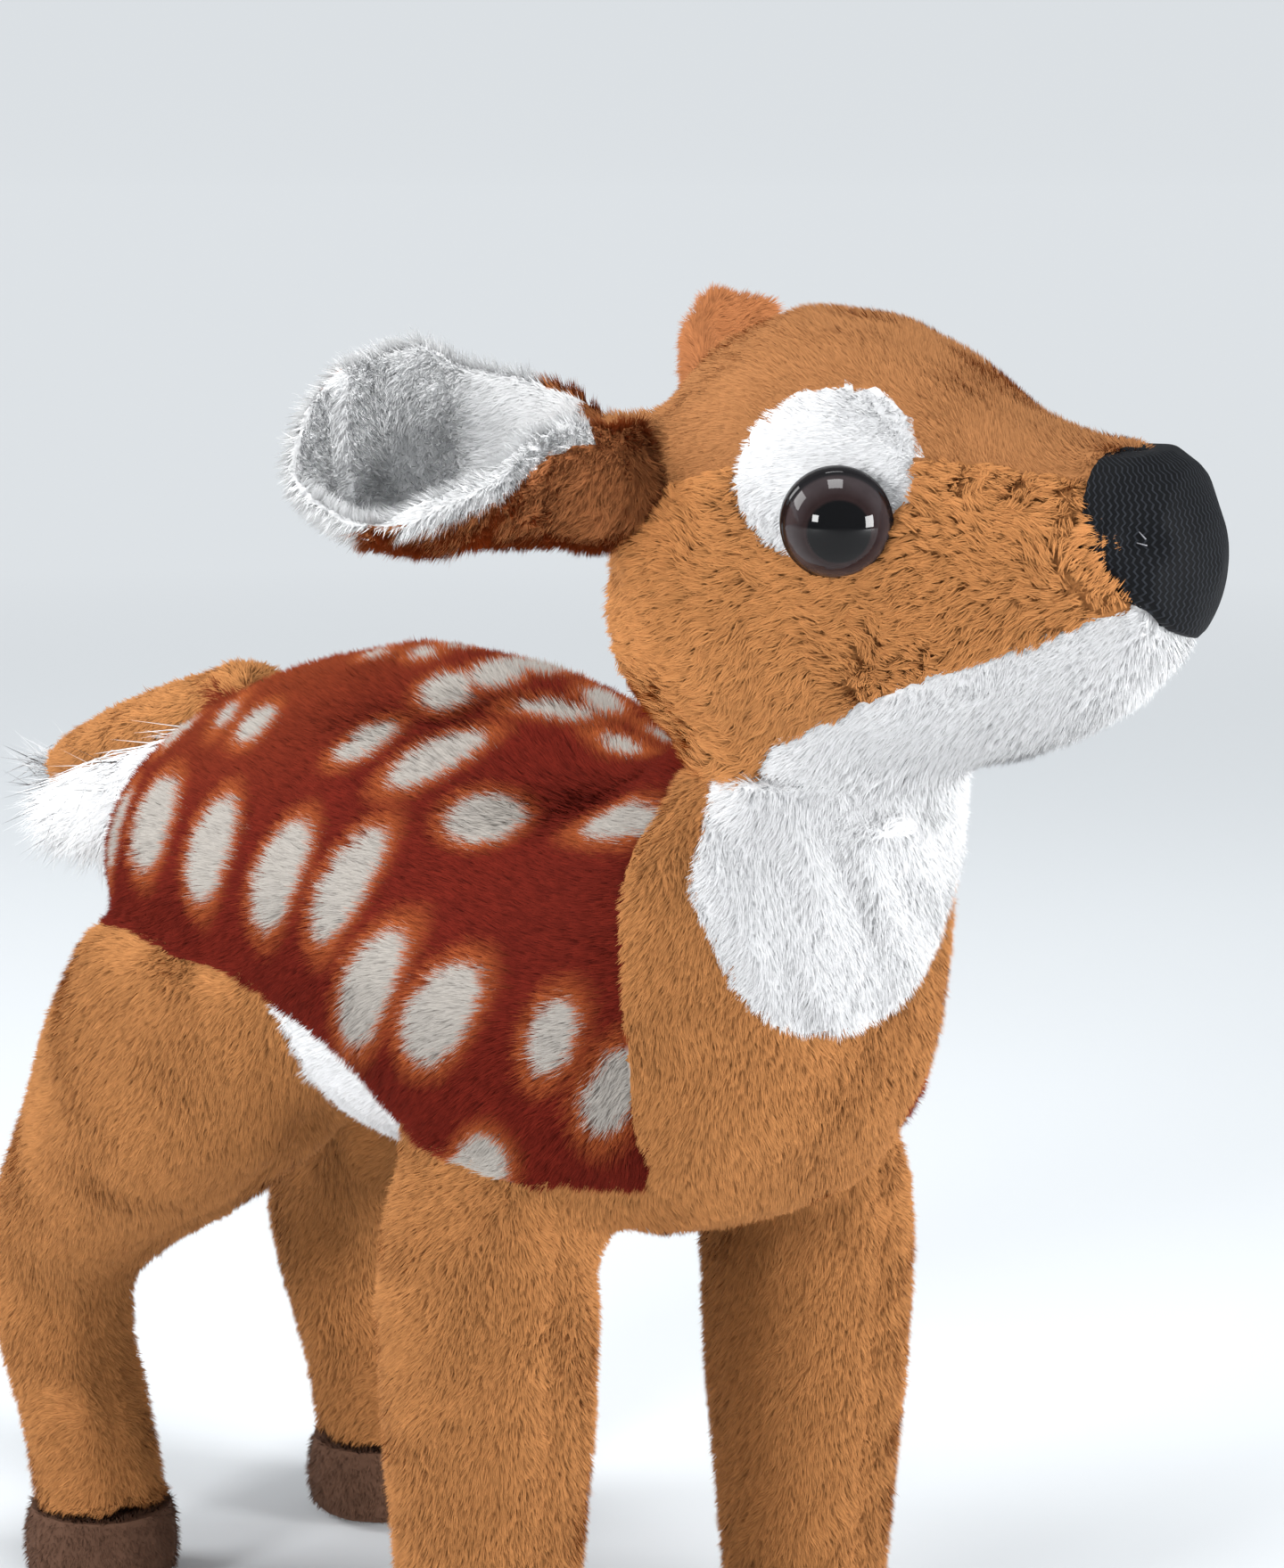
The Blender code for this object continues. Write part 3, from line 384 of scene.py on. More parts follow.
class Panels:
    """The sewn panels of one form, which tell a point's panel. Some give way to those near them."""

    def __init__(self, names, gives_way=None, inside=None, rims=None, lip=None, end=None):
        self.names = names
        self.lip = lip
        self.end = end
        # Beyond a place along an ear, the way that a point faces tells its panel
        self.inside = inside
        self.gives_way = gives_way or {}
        numbered = list(enumerate(names))
        self.tree, self.owner = tree_of(numbered, rims)
        if rims:
            self.rim = rim_of(nodes[names[0]].data, tree_of([(1, names[1])])[0])
        firm = [(number, name) for number, name in numbered if name not in self.gives_way]
        self.firm_tree, self.firm_owner = tree_of(firm)

    def beyond_wall(self, points, facing):
        """The panel whose face each point meets last on its way out of a thin wall, but for rims and the tip."""
        labels = np.zeros(len(points), int)
        for k, (point, way) in enumerate(zip(points, facing)):
            start, way = Vector(point), Vector(way)
            if self.rim.find_nearest(start)[3] < self.lip[0]:
                labels[k] = 1
                continue
            # From inside the wall, so that a point that lies above it finds its face too
            start -= way * WALL_START * MM
            left = WALL_REACH * MM
            while left > 0:
                place, _, face, distance = self.tree.ray_cast(start, way, left)
                if place is None:
                    break
                labels[k] = self.owner[face]
                start = place + way * WALL_STEP * MM
                left -= distance + WALL_STEP * MM
        start, along, stations, middles = self.inside
        offset = np.array(points) - start
        depth = offset @ along
        middle = np.stack([np.interp(depth, stations, middles[:, axis]) for axis in range(3)], axis=1)
        toward = middle - offset
        toward = unit(toward - (toward @ along)[:, None] * along)
        inner = (facing * toward).sum(axis=1)
        _, cup, tip, end = self.lip
        labels[inner < cup] = 0
        labels[depth > stations[-3]] = (inner > tip)[depth > stations[-3]]
        labels[depth > stations[-2]] = (inner > end)[depth > stations[-2]]
        labels[(depth < EAR_ROOT * MM) | ((depth < EAR_POCKET * MM) & (inner < EAR_POCKET_FACING))] = 0
        return labels

    def of(self, points, facing=None):
        if self.inside:
            return self.beyond_wall(points, facing)
        found = [self.tree.find_nearest(point) for point in points]
        labels = self.owner[[face for _, _, face, _ in found]]
        for number, name in enumerate(self.names):
            reach = self.gives_way.get(name)
            if reach is None:
                continue
            for k in np.flatnonzero(labels == number):
                _, _, face, distance = self.firm_tree.find_nearest(points[k])
                if distance < found[k][3] + reach:
                    labels[k] = self.firm_owner[face]
        if self.end:
            labels[facing @ np.array(self.end) > END_FACING] = 1
        return labels


def puffed(form, pinned, cloth):
    """The cloth swollen by its filling between the pinned seams."""
    start = points_of(form.data)
    group = form.vertex_groups.new(name="seams")
    for number, weight in enumerate(pinned):
        group.add([number], float(weight), "REPLACE")
    puff = form.modifiers.new("puff", "CLOTH")
    puff.settings.vertex_group_mass = "seams"
    puff.settings.quality = 6
    puff.settings.mass = 0.02
    puff.settings.use_pressure = True
    puff.settings.uniform_pressure_force = cloth.pressure
    puff.settings.effector_weights.gravity = 0
    puff.collision_settings.use_collision = False
    scene = bpy.context.scene
    for step in range(1, 21):
        scene.frame_set(step)
    applied(form)
    scene.frame_set(1)
    move = points_of(form.data) - start
    reach = np.linalg.norm(move, axis=1, keepdims=True)
    move *= np.minimum(1, cloth.swell / np.maximum(reach, 1e-9))
    set_points(form.data, start + move)


def dressed_form(name, meshes, panels, growth, voxel, easing, offset, drawn=1.0):
    """A form with its seams drawn in and its panels puffed. Thin leaves are drawn in less."""
    cloth = bpy.context.scene.fawn_cloth
    form = soft_form(name, meshes, growth, voxel, easing, offset)
    facing = np.array([vertex.normal for vertex in form.data.vertices])
    labels = panels.of([vertex.co for vertex in form.data.vertices], facing)
    edges = np.empty(len(form.data.edges) * 2, int)
    form.data.edges.foreach_get("vertices", edges)
    edges = edges.reshape(-1, 2)
    crossing = edges[labels[edges[:, 0]] != labels[edges[:, 1]]]
    points = points_of(form.data)
    seams = KDTree(len(crossing))
    for number, point in enumerate(points[crossing].mean(axis=1)):
        seams.insert(point, number)
    seams.balance()
    if len(crossing):
        distance = np.array([seams.find(point)[2] for point in points])
    else:
        distance = np.full(len(points), 1.0)
    draw = np.exp(-((distance / cloth.seam_width) ** 2))
    puffed(form, np.where(distance < 1.2 * voxel, 1.0, 0.0), cloth)
    set_points(form.data, points_of(form.data) - normals_of(form.data) * (draw * cloth.seam_depth * drawn)[:, None])
    return form, seams


def scattered(mesh, count, dice):
    """Points spread evenly over a mesh, with the way it faces at each."""
    mesh.calc_loop_triangles()
    corners = np.empty(len(mesh.loop_triangles) * 3, int)
    mesh.loop_triangles.foreach_get("vertices", corners)
    corners = corners.reshape(-1, 3)
    points, normals = points_of(mesh), normals_of(mesh)
    a, b, c = (points[corners[:, k]] for k in range(3))
    areas = np.linalg.norm(np.cross(b - a, c - a), axis=1) / 2
    chosen = dice.choice(len(corners), int(count * areas.sum() / MM**2), p=areas / areas.sum())
    first, second = dice.random((2, len(chosen), 1))
    fold = first + second > 1
    first = np.where(fold, 1 - first, first)
    second = np.where(fold, 1 - second, second)
    third = 1 - first - second
    one, two, three = (corners[chosen, k] for k in range(3))
    place = points[one] * third + points[two] * first + points[three] * second
    facing = unit(normals[one] * third + normals[two] * first + normals[three] * second)
    return place, facing


def drift(points, size, strength, dice):
    """A smooth random vector at each point, that changes over a given size."""
    result = np.zeros_like(points)
    for _ in range(5):
        wave = dice.normal(size=3) / size
        shift = dice.random() * math.tau
        result += np.sin(points @ wave + shift)[:, None] * dice.normal(size=3)
    return result * strength / 2.2


# Pile rules: density share, length in mm, lean in degrees, spread, clump pull, blades in a clump, curl, share of the
# blade width, and whether each blade is bent
RULES = {
    "crown": (1.1, 1.7, 52, 0.12, 0.18, 12, 0.05, 0.75, False),
    "tan": (1.1, 2.3, 50, 0.20, 0.36, 20, 0.14, 0.85, False),
    "curly": (0.95, 3.4, 52, 0.20, 0.56, 22, 0.28, 0.85, True),
    "saddle": (1.25, 2.7, 38, 0.20, 0.30, 20, 0.12, 0.8, False),
    "white": (1.1, 2.4, 50, 0.20, 0.28, 20, 0.14, 0.8, False),
    "patch": (1.2, 2.0, 50, 0.16, 0.24, 16, 0.08, 0.8, False),
    "lining": (1.0, 3.0, 50, 0.16, 0.20, 16, 0.08, 0.8, False),
    "ear": (1.2, 2.8, 52, 0.18, 0.36, 22, 0.12, 0.7, False),
    "fluff": (1.3, 17.0, 30, 0.50, 0.40, 30, 0.40, 0.9, True),
    "tail": (1.1, 3.2, 54, 0.22, 0.36, 22, 0.20, 0.85, True),
    "hoof": (0.8, 1.6, 44, 0.20, 0.28, 12, 0.10, 1.0, False),
}


# In mm: pile longer than this lets the light from above through
LONG_FLUFF = 8
# In mm: the height of the trunk's middle, round which the spots lie, and how deep each reaches into the trunk
TRUNK_HEIGHT, SPOT_DEPTH = 118.0, 14.0


def spot_masks(points):
    """How much each point is in a spot, and how much in the paler ring round one."""
    local = (points - np.array(origin)) / MM
    local[:, 1] = np.abs(points[:, 1] - middle_y) / MM
    nearest = np.full(len(points), 9.0)
    beyond = np.full(len(points), 9.0)
    for x, y, z, half_length, half_width, tilt in SPOTS:
        across = unit(np.array((0.0, y, z - TRUNK_HEIGHT)))
        level = np.array((1.0, 0.0, 0.0))
        upward = np.cross(level, across)
        turn = math.radians(tilt)
        long_axis = level * math.cos(turn) + upward * math.sin(turn)
        short_axis = np.cross(across, long_axis)
        offset = local - np.array((x, y, z))
        stretch = ((offset @ long_axis) / half_length) ** 2 + ((offset @ short_axis) / half_width) ** 2
        reach = np.sqrt(stretch + ((offset @ across) / SPOT_DEPTH) ** 2)
        nearest = np.minimum(nearest, reach)
        beyond = np.minimum(beyond, (reach - 1) * half_width)
    spot = np.clip((1.06 - nearest) / 0.14, 0, 1)
    halo = np.clip(1.15 - beyond / 2.3, 0, 1)
    return spot, halo


def blades(place, facing, flow, rule, dice, seams):
    """The points of each blade of pile, root first and tip last, the way it is shaded, and the tuft that it is in."""
    pile = bpy.context.scene.fawn_pile
    _, length, lean, spread, pull, clump_size, curl, width, bent = rule
    count = len(place)
    flow = unit(flow - (flow * facing).sum(axis=1, keepdims=True) * facing)
    across = np.cross(facing, flow)
    away = np.array([seams.find(point)[2] for point in place]) if seams else np.full(count, 1.0)
    short = 1 - 0.38 * np.exp(-((away / (1.5 * MM)) ** 2))
    reach = (length * MM * pile.length * short * dice.uniform(0.72, 1.18, count))[:, None]
    tilt = np.radians(np.clip(lean + dice.normal(0, 9, count), 8, 80))[:, None]
    jitter = dice.normal(0, spread, (2, count, 1))
    wave = curl * np.sin(dice.random((count, 1)) * math.tau)
    start = facing * np.cos(tilt * 0.55) + flow * np.sin(tilt * 0.55) + across * (jitter[0] * 0.6 + wave)
    end = facing * np.cos(tilt * 1.3) + flow * np.sin(tilt * 1.3) + across * (jitter[0] - wave) + flow * jitter[1]
    root = place - facing * 0.25 * MM
    mid = root + unit(start) * reach * 0.45
    tip = mid + unit(end) * reach * 0.55
    centres = np.arange(0, count, clump_size)
    tree = KDTree(len(centres))
    for number in centres:
        tree.insert(place[number], int(number))
    tree.balance()
    owner = np.array([tree.find(point)[1] for point in place])
    tip += (tip[owner] - tip) * pull
    mid += (mid[owner] - mid) * pull * 0.35
    turn = dice.normal(0, 0.45, (count, 1))
    side = across * np.cos(turn) + np.cross(unit(mid - root), across) * np.sin(turn)
    side = unit(side) * pile.width * width * 0.5 * dice.uniform(0.75, 1.25, (count, 1))
    side *= np.sign((np.cross(tip - root, side) * facing).sum(axis=1, keepdims=True) + 1e-12)
    shaded = unit(facing + 0.45 * unit(tip[owner] - root[owner]) + dice.normal(0, 0.16, (count, 3)))
    if length > LONG_FLUFF:
        shaded = unit(shaded + np.array((0, 0, 0.9)))
    if bent:
        return np.stack((root, mid - side, mid + side, tip), axis=1), shaded, owner
    return np.stack((root + side, root - side, tip), axis=1), shaded, owner


def panel_piece(name, form, faces, place, facing, flow, rule, material, dice, seams, spots=False):
    """A cloth panel: its backing's faces, with its blades of pile on them."""
    sheet = bmesh.new()
    sheet.from_mesh(form.data)
    sheet.faces.ensure_lookup_table()
    wanted = set(faces.tolist())
    bmesh.ops.delete(sheet, geom=[face for face in sheet.faces if face.index not in wanted], context="FACES")
    backing = mesh_of(sheet, name)
    base, normals = points_of(backing), normals_of(backing)
    polygons = [tuple(face.vertices) for face in backing.polygons]
    made, shaded, owner = blades(place, facing, flow, rule, dice, seams)
    count, each = made.shape[:2]
    points = np.vstack((base, made.reshape(-1, 3)))
    first = len(base) + each * np.arange(count)[:, None]
    steps = (0, 1, 2) if each == 3 else (0, 1, 2, 1, 3, 2)
    corners = np.hstack([first + step for step in steps]).reshape(-1, 3)
    sizes = np.concatenate(([len(p) for p in polygons], np.full(len(corners), 3))).astype(int)
    loops = np.concatenate((np.array([c for p in polygons for c in p], int), corners.ravel()))
    mesh = bpy.data.meshes.new(name)
    mesh.vertices.add(len(points))
    mesh.vertices.foreach_set("co", points.ravel())
    mesh.loops.add(len(loops))
    mesh.loops.foreach_set("vertex_index", loops)
    mesh.polygons.add(len(sizes))
    mesh.polygons.foreach_set("loop_start", np.concatenate(([0], np.cumsum(sizes)[:-1])))
    mesh.update(calc_edges=True)
    tint = dice.random(count) * 0.5 + dice.random(count)[owner] * 0.5
    spot = halo = np.zeros(count)
    base_spot = base_halo = np.zeros(len(base))
    if spots:
        fuzz = dice.normal(0, 0.45 * MM, place.shape)
        spot, halo = spot_masks(place + fuzz)
        base_spot, base_halo = spot_masks(base)
    # The backing lies 0.4 along its pile, so that it takes part of the painted shade at the roots
    along = np.tile((0.1, 0.1, 1.0) if each == 3 else (0.0, 0.5, 0.5, 1.0), count)
    fields = {
        "along": np.concatenate((np.full(len(base), 0.4), along)),
        "tint": np.concatenate((np.full(len(base), 0.5), np.repeat(tint, each))),
        "spot": np.concatenate((base_spot, np.repeat(spot, each))),
        "halo": np.concatenate((base_halo, np.repeat(halo, each))),
    }
    for field, values in fields.items():
        if spots or field in ("along", "tint"):
            set_numbers(mesh, field, values)
    mesh.polygons.foreach_set("use_smooth", np.ones(len(sizes), bool))
    mesh.normals_split_custom_set_from_vertices(np.vstack((normals, np.repeat(shaded, each, axis=0))))
    mesh.materials.append(material)
    bpy.data.meshes.remove(backing)
    return link(bpy.data.objects.new(name, mesh))


def pile_material(name, root, low, high):
    """Pile that is darker at its roots and on its backing, a painted shade deep in the pile, with blades of unlike
    tint.
    """
    shader = Shader(name, Roughness=0.82, Specular_IOR_Level=0.15)
    along = shader.attribute("along")
    tint = shader.attribute("tint")
    drifts = shader.noise(shader.place(), 55, 3)
    mixed = shader.blend((tint * 0.8 + drifts * 0.3 - 0.05).clamped(), low, high)
    # Painted shade: toward the roots the colour goes over to the darker root colour
    shader.set("Base_Color", shader.blend((along * 0.85 + 0.22).clamped(), root, mixed))
    return shader.material


def scaled(colour, share):
    return tuple(channel * share for channel in colour)


def tinted(colour, red, green, blue):
    return tuple(min(1, c * s) for c, s in zip(colour, (red, green, blue)))


def saddle_material(colours):
    shader = Shader("saddle_pile", Roughness=0.8, Specular_IOR_Level=0.06)
    along = shader.attribute("along")
    tint = shader.attribute("tint")
    drifts = shader.noise(shader.place(), 45, 3)
    share = (tint * 0.7 + drifts * 0.6 - 0.15).clamped()
    # Each colour below is darker at the roots of its blades and on the backing: painted shade deep in the pile
    red = shader.blend(share, scaled(colours.saddle, 0.55), tinted(colours.saddle, 1.35, 1.6, 1.5))
    red = shader.blend((along * 0.85 + 0.15).clamped(), scaled(colours.saddle, 0.28), red)
    ring = shader.blend(share, scaled(colours.halo, 0.7), tinted(colours.halo, 1.15, 1.25, 1.3))
    ring = shader.blend((along * 0.85 + 0.2).clamped(), scaled(colours.saddle, 0.5), ring)
    pale = shader.blend(share, scaled(colours.spot, 0.82), tinted(colours.spot, 1.08, 1.08, 1.06))
    pale = shader.blend((along * 0.9 + 0.25).clamped(), scaled(colours.spot, 0.45), pale)
    # Painted light: high on the rump the red is blended toward the halo's paler brown, as where light from behind and
    # above falls
    lengthwise, _, height = shader.parts(shader.place())
    painted_rump_light = ((height - 0.130) / 0.025).clamped() * (lengthwise * -20).clamped() * 0.5
    red = shader.blend(painted_rump_light, red, ring)
    halo = shader.attribute("halo") * (0.35 + along * 0.65)
    shader.set("Base_Color", shader.blend(shader.attribute("spot"), shader.blend(halo, red, ring), pale))
    return shader.material


# Each pile's colour at its roots, which is painted shade deep in the pile, and on its darkest blades, as shares of its
# own, and the tint of its palest blades
PILE_TONES = {
    "crown": (0.50, 0.84, (1.10, 1.12, 1.15)),
    "tan": (0.38, 0.74, (1.14, 1.18, 1.25)),
    # The linings' roots are barely darker and their blades paler than the white's: painted light in the ears' cups
    "lining": (0.88, 0.96, (1, 1, 1)),
    "ear": (0.40, 0.78, (1.12, 1.16, 1.2)),
    "white": (0.74, 0.93, (1.04, 1.04, 1.04)),
    "hoof": (0.45, 0.8, (1.3, 1.3, 1.3)),
}


def make_materials():
    colours = bpy.context.scene.fawn_colours
    made = {"saddle": saddle_material(colours)}
    for name, (root, low, high) in PILE_TONES.items():
        colour = getattr(colours, name)
        made[name] = pile_material(name + "_pile", scaled(colour, root), scaled(colour, low), tinted(colour, *high))
    return made


# How far the lining's pile reaches round each ear's rim, and how much its faces look inward where it begins: in the
# cup, toward the tip and at the tip's end. The far ear shows its brown lip, the near one its white.
EAR_LIPS = {"left": (0.5 * MM, 0.62, 0.3, -0.2), "right": (3.4 * MM, -2.0, -0.8, -2.0)}


def flow_field(name, place, facing):
    """Which way the pile lies, before it follows the surface."""
    ahead = np.array(head_ahead)
    left = np.array(head_left)
    if name in ("crown_panel", "cheek_left", "cheek_right"):
        front = np.clip(facing @ ahead, 0, 1) if name == "crown_panel" else np.zeros(len(place))
        lie = -ahead + np.outer(1.65 * front - 0.45, (0, 0, 1.0))
        # Beside the nose the pile turns over its edge
        nose, _ = tree_of([(0, "nose_patch")])
        near = [nose.find_nearest(point) for point in place]
        share = np.exp(-((np.array([found[3] for found in near]) / (2.5 * MM)) ** 2))[:, None]
        low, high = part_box("nose_patch")
        return lie * (1 - share) + unit(np.array((low + high) / 2) - place) * share * 1.6
    if name == "chin_panel":
        return np.tile(-ahead * 0.8 + np.array((0, 0, -0.5)), (len(place), 1))
    if name.startswith("eye_patch"):
        return np.tile(-ahead + np.array((0, 0, -0.7)), (len(place), 1))
    if name == "saddle_panel":
        return np.tile((-0.75, 0, -0.55), (len(place), 1))
    if name.startswith("ear_"):
        side = name.split("_")[1]
        hinge = joints[f"ear_{side}_fold"]
        # Along the ear, and from its opening over the rim
        lining, back = (points_of(nodes[f"ear_{side}_{layer}"].data).mean(axis=0) for layer in ("lining", "back"))
        along = unit(back - np.array(hinge["pos_m"]))
        opening = lining - back - ((lining - back) @ along) * along
        return unit(place - np.array(hinge["pos_m"])) - unit(opening) * 0.7
    if name.startswith("tail"):
        return np.tile((-0.8, 0, -0.6), (len(place), 1))
    if name == "belly_panel":
        return np.tile((-1.0, 0, -0.3), (len(place), 1))
    return np.tile((-0.12, 0, -1.0), (len(place), 1))


# Each panel: its pile's rule, its material, the record's slot and the nodes that it stands for besides its own
BODY_PANELS = {
    "saddle_panel": ("saddle", "saddle", "saddle_plush", ("body_stuffing",)),
    "chest_panel": ("tan", "tan", "tan_plush", ()),
    "bib_panel": ("white", "white", "white_plush", ()),
    "belly_panel": ("white", "white", "white_plush", ()),
}
for leg in LEGS:
    BODY_PANELS[leg + "_outer_panel"] = ("tan", "tan", "tan_plush", (leg + "_stuffing",))
    BODY_PANELS[leg + "_inner_panel"] = ("tan", "tan", "tan_plush", ())
HEAD_PANELS = {
    "crown_panel": ("crown", "crown", "crown_plush", ("head_stuffing",)),
    "cheek_left": ("curly", "tan", "tan_plush", ()),
    "cheek_right": ("curly", "tan", "tan_plush", ()),
    "chin_panel": ("white", "white", "white_plush", ()),
    "eye_patch_left": ("patch", "white", "white_plush", ()),
    "eye_patch_right": ("patch", "white", "white_plush", ()),
}
TAIL_PANELS = {
    "tail_top": ("tail", "tan", "tan_plush", ()),
    "tail_underside": ("fluff", "white", "white_plush", ()),
}


def dress(form, seams, panels, table, body, materials, dice, bare=(), behind=None):
    """Cuts a form into its panels, and gives each its pile."""
    pile = bpy.context.scene.fawn_pile
    density = pile.density * 1
    place, facing = scattered(form.data, density, dice)
    owner = panels.of(place, facing)
    centres = [face.center for face in form.data.polygons]
    face_facing = np.array([face.normal for face in form.data.polygons])
    face_owner = (behind or panels).of(centres, face_facing)
    for number, name in enumerate(panels.names):
        if name in bare:
            continue
        rule_name, colour, slot, stands_for = table[name]
        rule = RULES[rule_name]
        mine = (owner == number) & (dice.random(len(owner)) < rule[0])
        faces = face_owner == number
        halves = [(name, mine, faces)]
        if name == "saddle_panel":
            face_y = np.array([centre.y for centre in centres])
            halves = []
            for word, sign in (("left", 1), ("right", -1)):
                beside = mine & (sign * (place[:, 1] - middle_y) > 0)
                halves.append((f"saddle_{word}", beside, faces & (sign * (face_y - middle_y) > 0)))
        for piece_name, chosen, own_faces in halves:
            roots, outward = place[chosen], facing[chosen]
            flow = unit(flow_field(name, roots, outward))
            flow = flow + drift(roots, 6 * MM, 0.35, dice) + drift(roots, 2 * MM, 0.25, dice)
            piece = panel_piece(
                piece_name + "_cloth",
                form,
                np.flatnonzero(own_faces),
                roots,
                outward,
                flow,
                rule,
                materials[colour],
                dice,
                seams,
                name == "saddle_panel",
            )
            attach(piece, body)
            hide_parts(name, *stands_for)
    bpy.data.objects.remove(form)


class FAWN_OT_body(bpy.types.Operator):
    """Makes the trunk and the legs with their pile"""

    bl_idname = "fawn.body"
    bl_label = "Body and legs"

    def execute(self, context):
        cloth = context.scene.fawn_cloth
        dice = np.random.default_rng(context.scene.fawn_pile.seed)
        hinge = joints["tail_lift"]["pos_m"]
        meshes = [nodes["body_stuffing"].data, plug_rod(hinge, (0, 1, 0), 5 * MM, 6 * MM)]
        meshes += [nodes[leg + "_stuffing"].data for leg in LEGS]
        panels = Panels(list(BODY_PANELS), {"belly_panel": 2.4 * MM})
        offset = cloth.skin - cloth.backing
        form, seams = dressed_form("body_form", meshes, panels, cloth.closing, cloth.voxel, 4, offset)
        dress(form, seams, panels, BODY_PANELS, "body", materials(), dice)
        return {"FINISHED"}


class FAWN_OT_hooves(bpy.types.Operator):
    """Makes the hooves with their short pile"""

    bl_idname = "fawn.hooves"
    bl_label = "Hooves"

    def execute(self, context):
        dice = np.random.default_rng(context.scene.fawn_pile.seed + 1)
        for leg in LEGS:
            name = leg + "_hoof"
            form = soft_form(name + "_form", [nodes[name].data], 0.3 * MM, 1.0 * MM, 2, -0.9 * MM)
            points = points_of(form.data)
            low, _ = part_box(name)
            points[:, 2] = np.maximum(points[:, 2], low.z)
            set_points(form.data, points)
            place, facing = scattered(form.data, 6.0, dice)
            standing = facing[:, 2] > -0.5
            place, facing = place[standing], facing[standing]
            flow = np.tile((0, 0, -1.0), (len(place), 1))
            everything = np.arange(len(form.data.polygons))
            piece = panel_piece(
                name + "_cloth", form, everything, place, facing, flow, RULES["hoof"], materials()["hoof"], dice, None
            )
            lowest = points_of(piece.data)
            lowest[:, 2] = np.maximum(lowest[:, 2], 0)
            piece.data.vertices.foreach_set("co", lowest.ravel())
            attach(piece, "body")
            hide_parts(name)
            bpy.data.objects.remove(form)
        return {"FINISHED"}


def eye_seat(side):
    """The middle of an eye's dome and the way that it looks."""
    shape = bmesh.new()
    shape.from_mesh(nodes["eye_" + side].data)
    bmesh.ops.remove_doubles(shape, verts=shape.verts, dist=0.01 * MM)
    shape.normal_update()
    centre = neck + UP * 0.035
    apex = max(shape.verts, key=lambda vertex: (vertex.co - centre).length)
    place, facing = apex.co.copy(), apex.normal.copy()
    shape.free()
    return place, facing


class FAWN_OT_head(bpy.types.Operator):
    """Makes the head's panels with their pile"""

    bl_idname = "fawn.head"
    bl_label = "Head"

    def execute(self, context):
        cloth = context.scene.fawn_cloth
        dice = np.random.default_rng(context.scene.fawn_pile.seed + 2)
        meshes = [nodes["head_stuffing"].data, plug_rod(neck, UP, 16.5 * MM, 9 * MM)]
        for side in ("left", "right"):
            hinge = joints[f"ear_{side}_fold"]
            meshes.append(plug_rod(hinge["pos_m"], hinge["axis"], 2.5 * MM, 9 * MM))
            apex, facing = eye_seat(side)
            meshes.append(plug_ball(apex - facing * 14.5 * MM, 6.5 * MM))
        names = [*HEAD_PANELS, "nose_patch"]
        panels = Panels(names, {"nose_patch": 1.6 * MM})
        offset = cloth.skin - cloth.backing
        form, seams = dressed_form("head_form", meshes, panels, cloth.closing, 2.0 * MM, 3, offset)
        table = {**HEAD_PANELS, "nose_patch": None}
        behind = Panels(list(HEAD_PANELS))
        dress(form, seams, panels, table, "head", materials(), dice, ("nose_patch",), behind)
        return {"FINISHED"}


class FAWN_OT_tail(bpy.types.Operator):
    """Makes the tail with its pile"""

    bl_idname = "fawn.tail"
    bl_label = "Tail"

    def execute(self, context):
        cloth = context.scene.fawn_cloth
        dice = np.random.default_rng(context.scene.fawn_pile.seed + 3)
        panels = Panels(list(TAIL_PANELS), {"tail_top": 1.0 * MM}, end=(-0.96, 0, -0.28))
        meshes = [nodes[name].data for name in TAIL_PANELS]
        form, seams = dressed_form("tail_form", meshes, panels, 0.6 * MM, 1.4 * MM, 3, -cloth.backing)
        dress(form, seams, panels, TAIL_PANELS, "tail", materials(), dice)
        return {"FINISHED"}


class FAWN_OT_ears(bpy.types.Operator):
    """Makes the cupped ears, brown behind and white inside"""

    bl_idname = "fawn.ears"
    bl_label = "Ears"

    def execute(self, context):
        dice = np.random.default_rng(context.scene.fawn_pile.seed + 4)
        for side in ("left", "right"):
            back, lining = f"ear_{side}_back", f"ear_{side}_lining"
            hinge = joints[f"ear_{side}_fold"]
            start = np.array(hinge["pos_m"])
            corners = points_of(nodes[back].data)
            tip = corners[np.argmax(np.linalg.norm(corners - start, axis=1))]
            along = unit(tip - start)
            depth = (corners - start) @ along
            stations = np.linspace(0.1, 0.95, 11) * depth.max()
            middles = [(corners - start)[np.abs(depth - station) < 5 * MM].mean(axis=0) for station in stations]
            inside = (start, along, stations, np.array(middles))
            panels = Panels([back, lining], inside=inside, rims=(0, 1, 1.15 * MM), lip=EAR_LIPS[side])
            meshes = [nodes[back].data, nodes[lining].data]
            form, seams = dressed_form(f"ear_{side}_form", meshes, panels, 0.5 * MM, 0.9 * MM, 3, -0.1 * MM, drawn=0.1)
            table = {
                back: ("ear", "ear", "crown_plush", ()),
                lining: ("lining", "lining", "white_plush", ()),
            }
            dress(form, None, panels, table, f"ear_{side}", materials(), dice)
        return {"FINISHED"}


def lens_material():
    """A black pupil in a brown-grey iris, under a polished dome with a dark rim."""
    shader = Shader("eye_dome", Roughness=0.03, Specular_IOR_Level=0.22)
    radial = shader.attribute("radial")
    streaks = shader.noise(shader.place(), 500, 3)
    inner = shader.blend(streaks, (0.010, 0.005, 0.005), (0.024, 0.013, 0.013))
    outer = shader.blend(streaks, (0.026, 0.019, 0.020), (0.048, 0.037, 0.039))
    iris = shader.blend(((radial - 0.66) / 0.20).clamped(), inner, outer)
    pupil = ((radial - 0.56) / 0.05).clamped()
    rim = ((radial - 0.93) / 0.04).clamped()
    lens = shader.blend(pupil, (0.002, 0.002, 0.0025), iris)
    shader.set("Base_Color", shader.blend(rim, lens, (0.006, 0.005, 0.006)))
    return shader.material


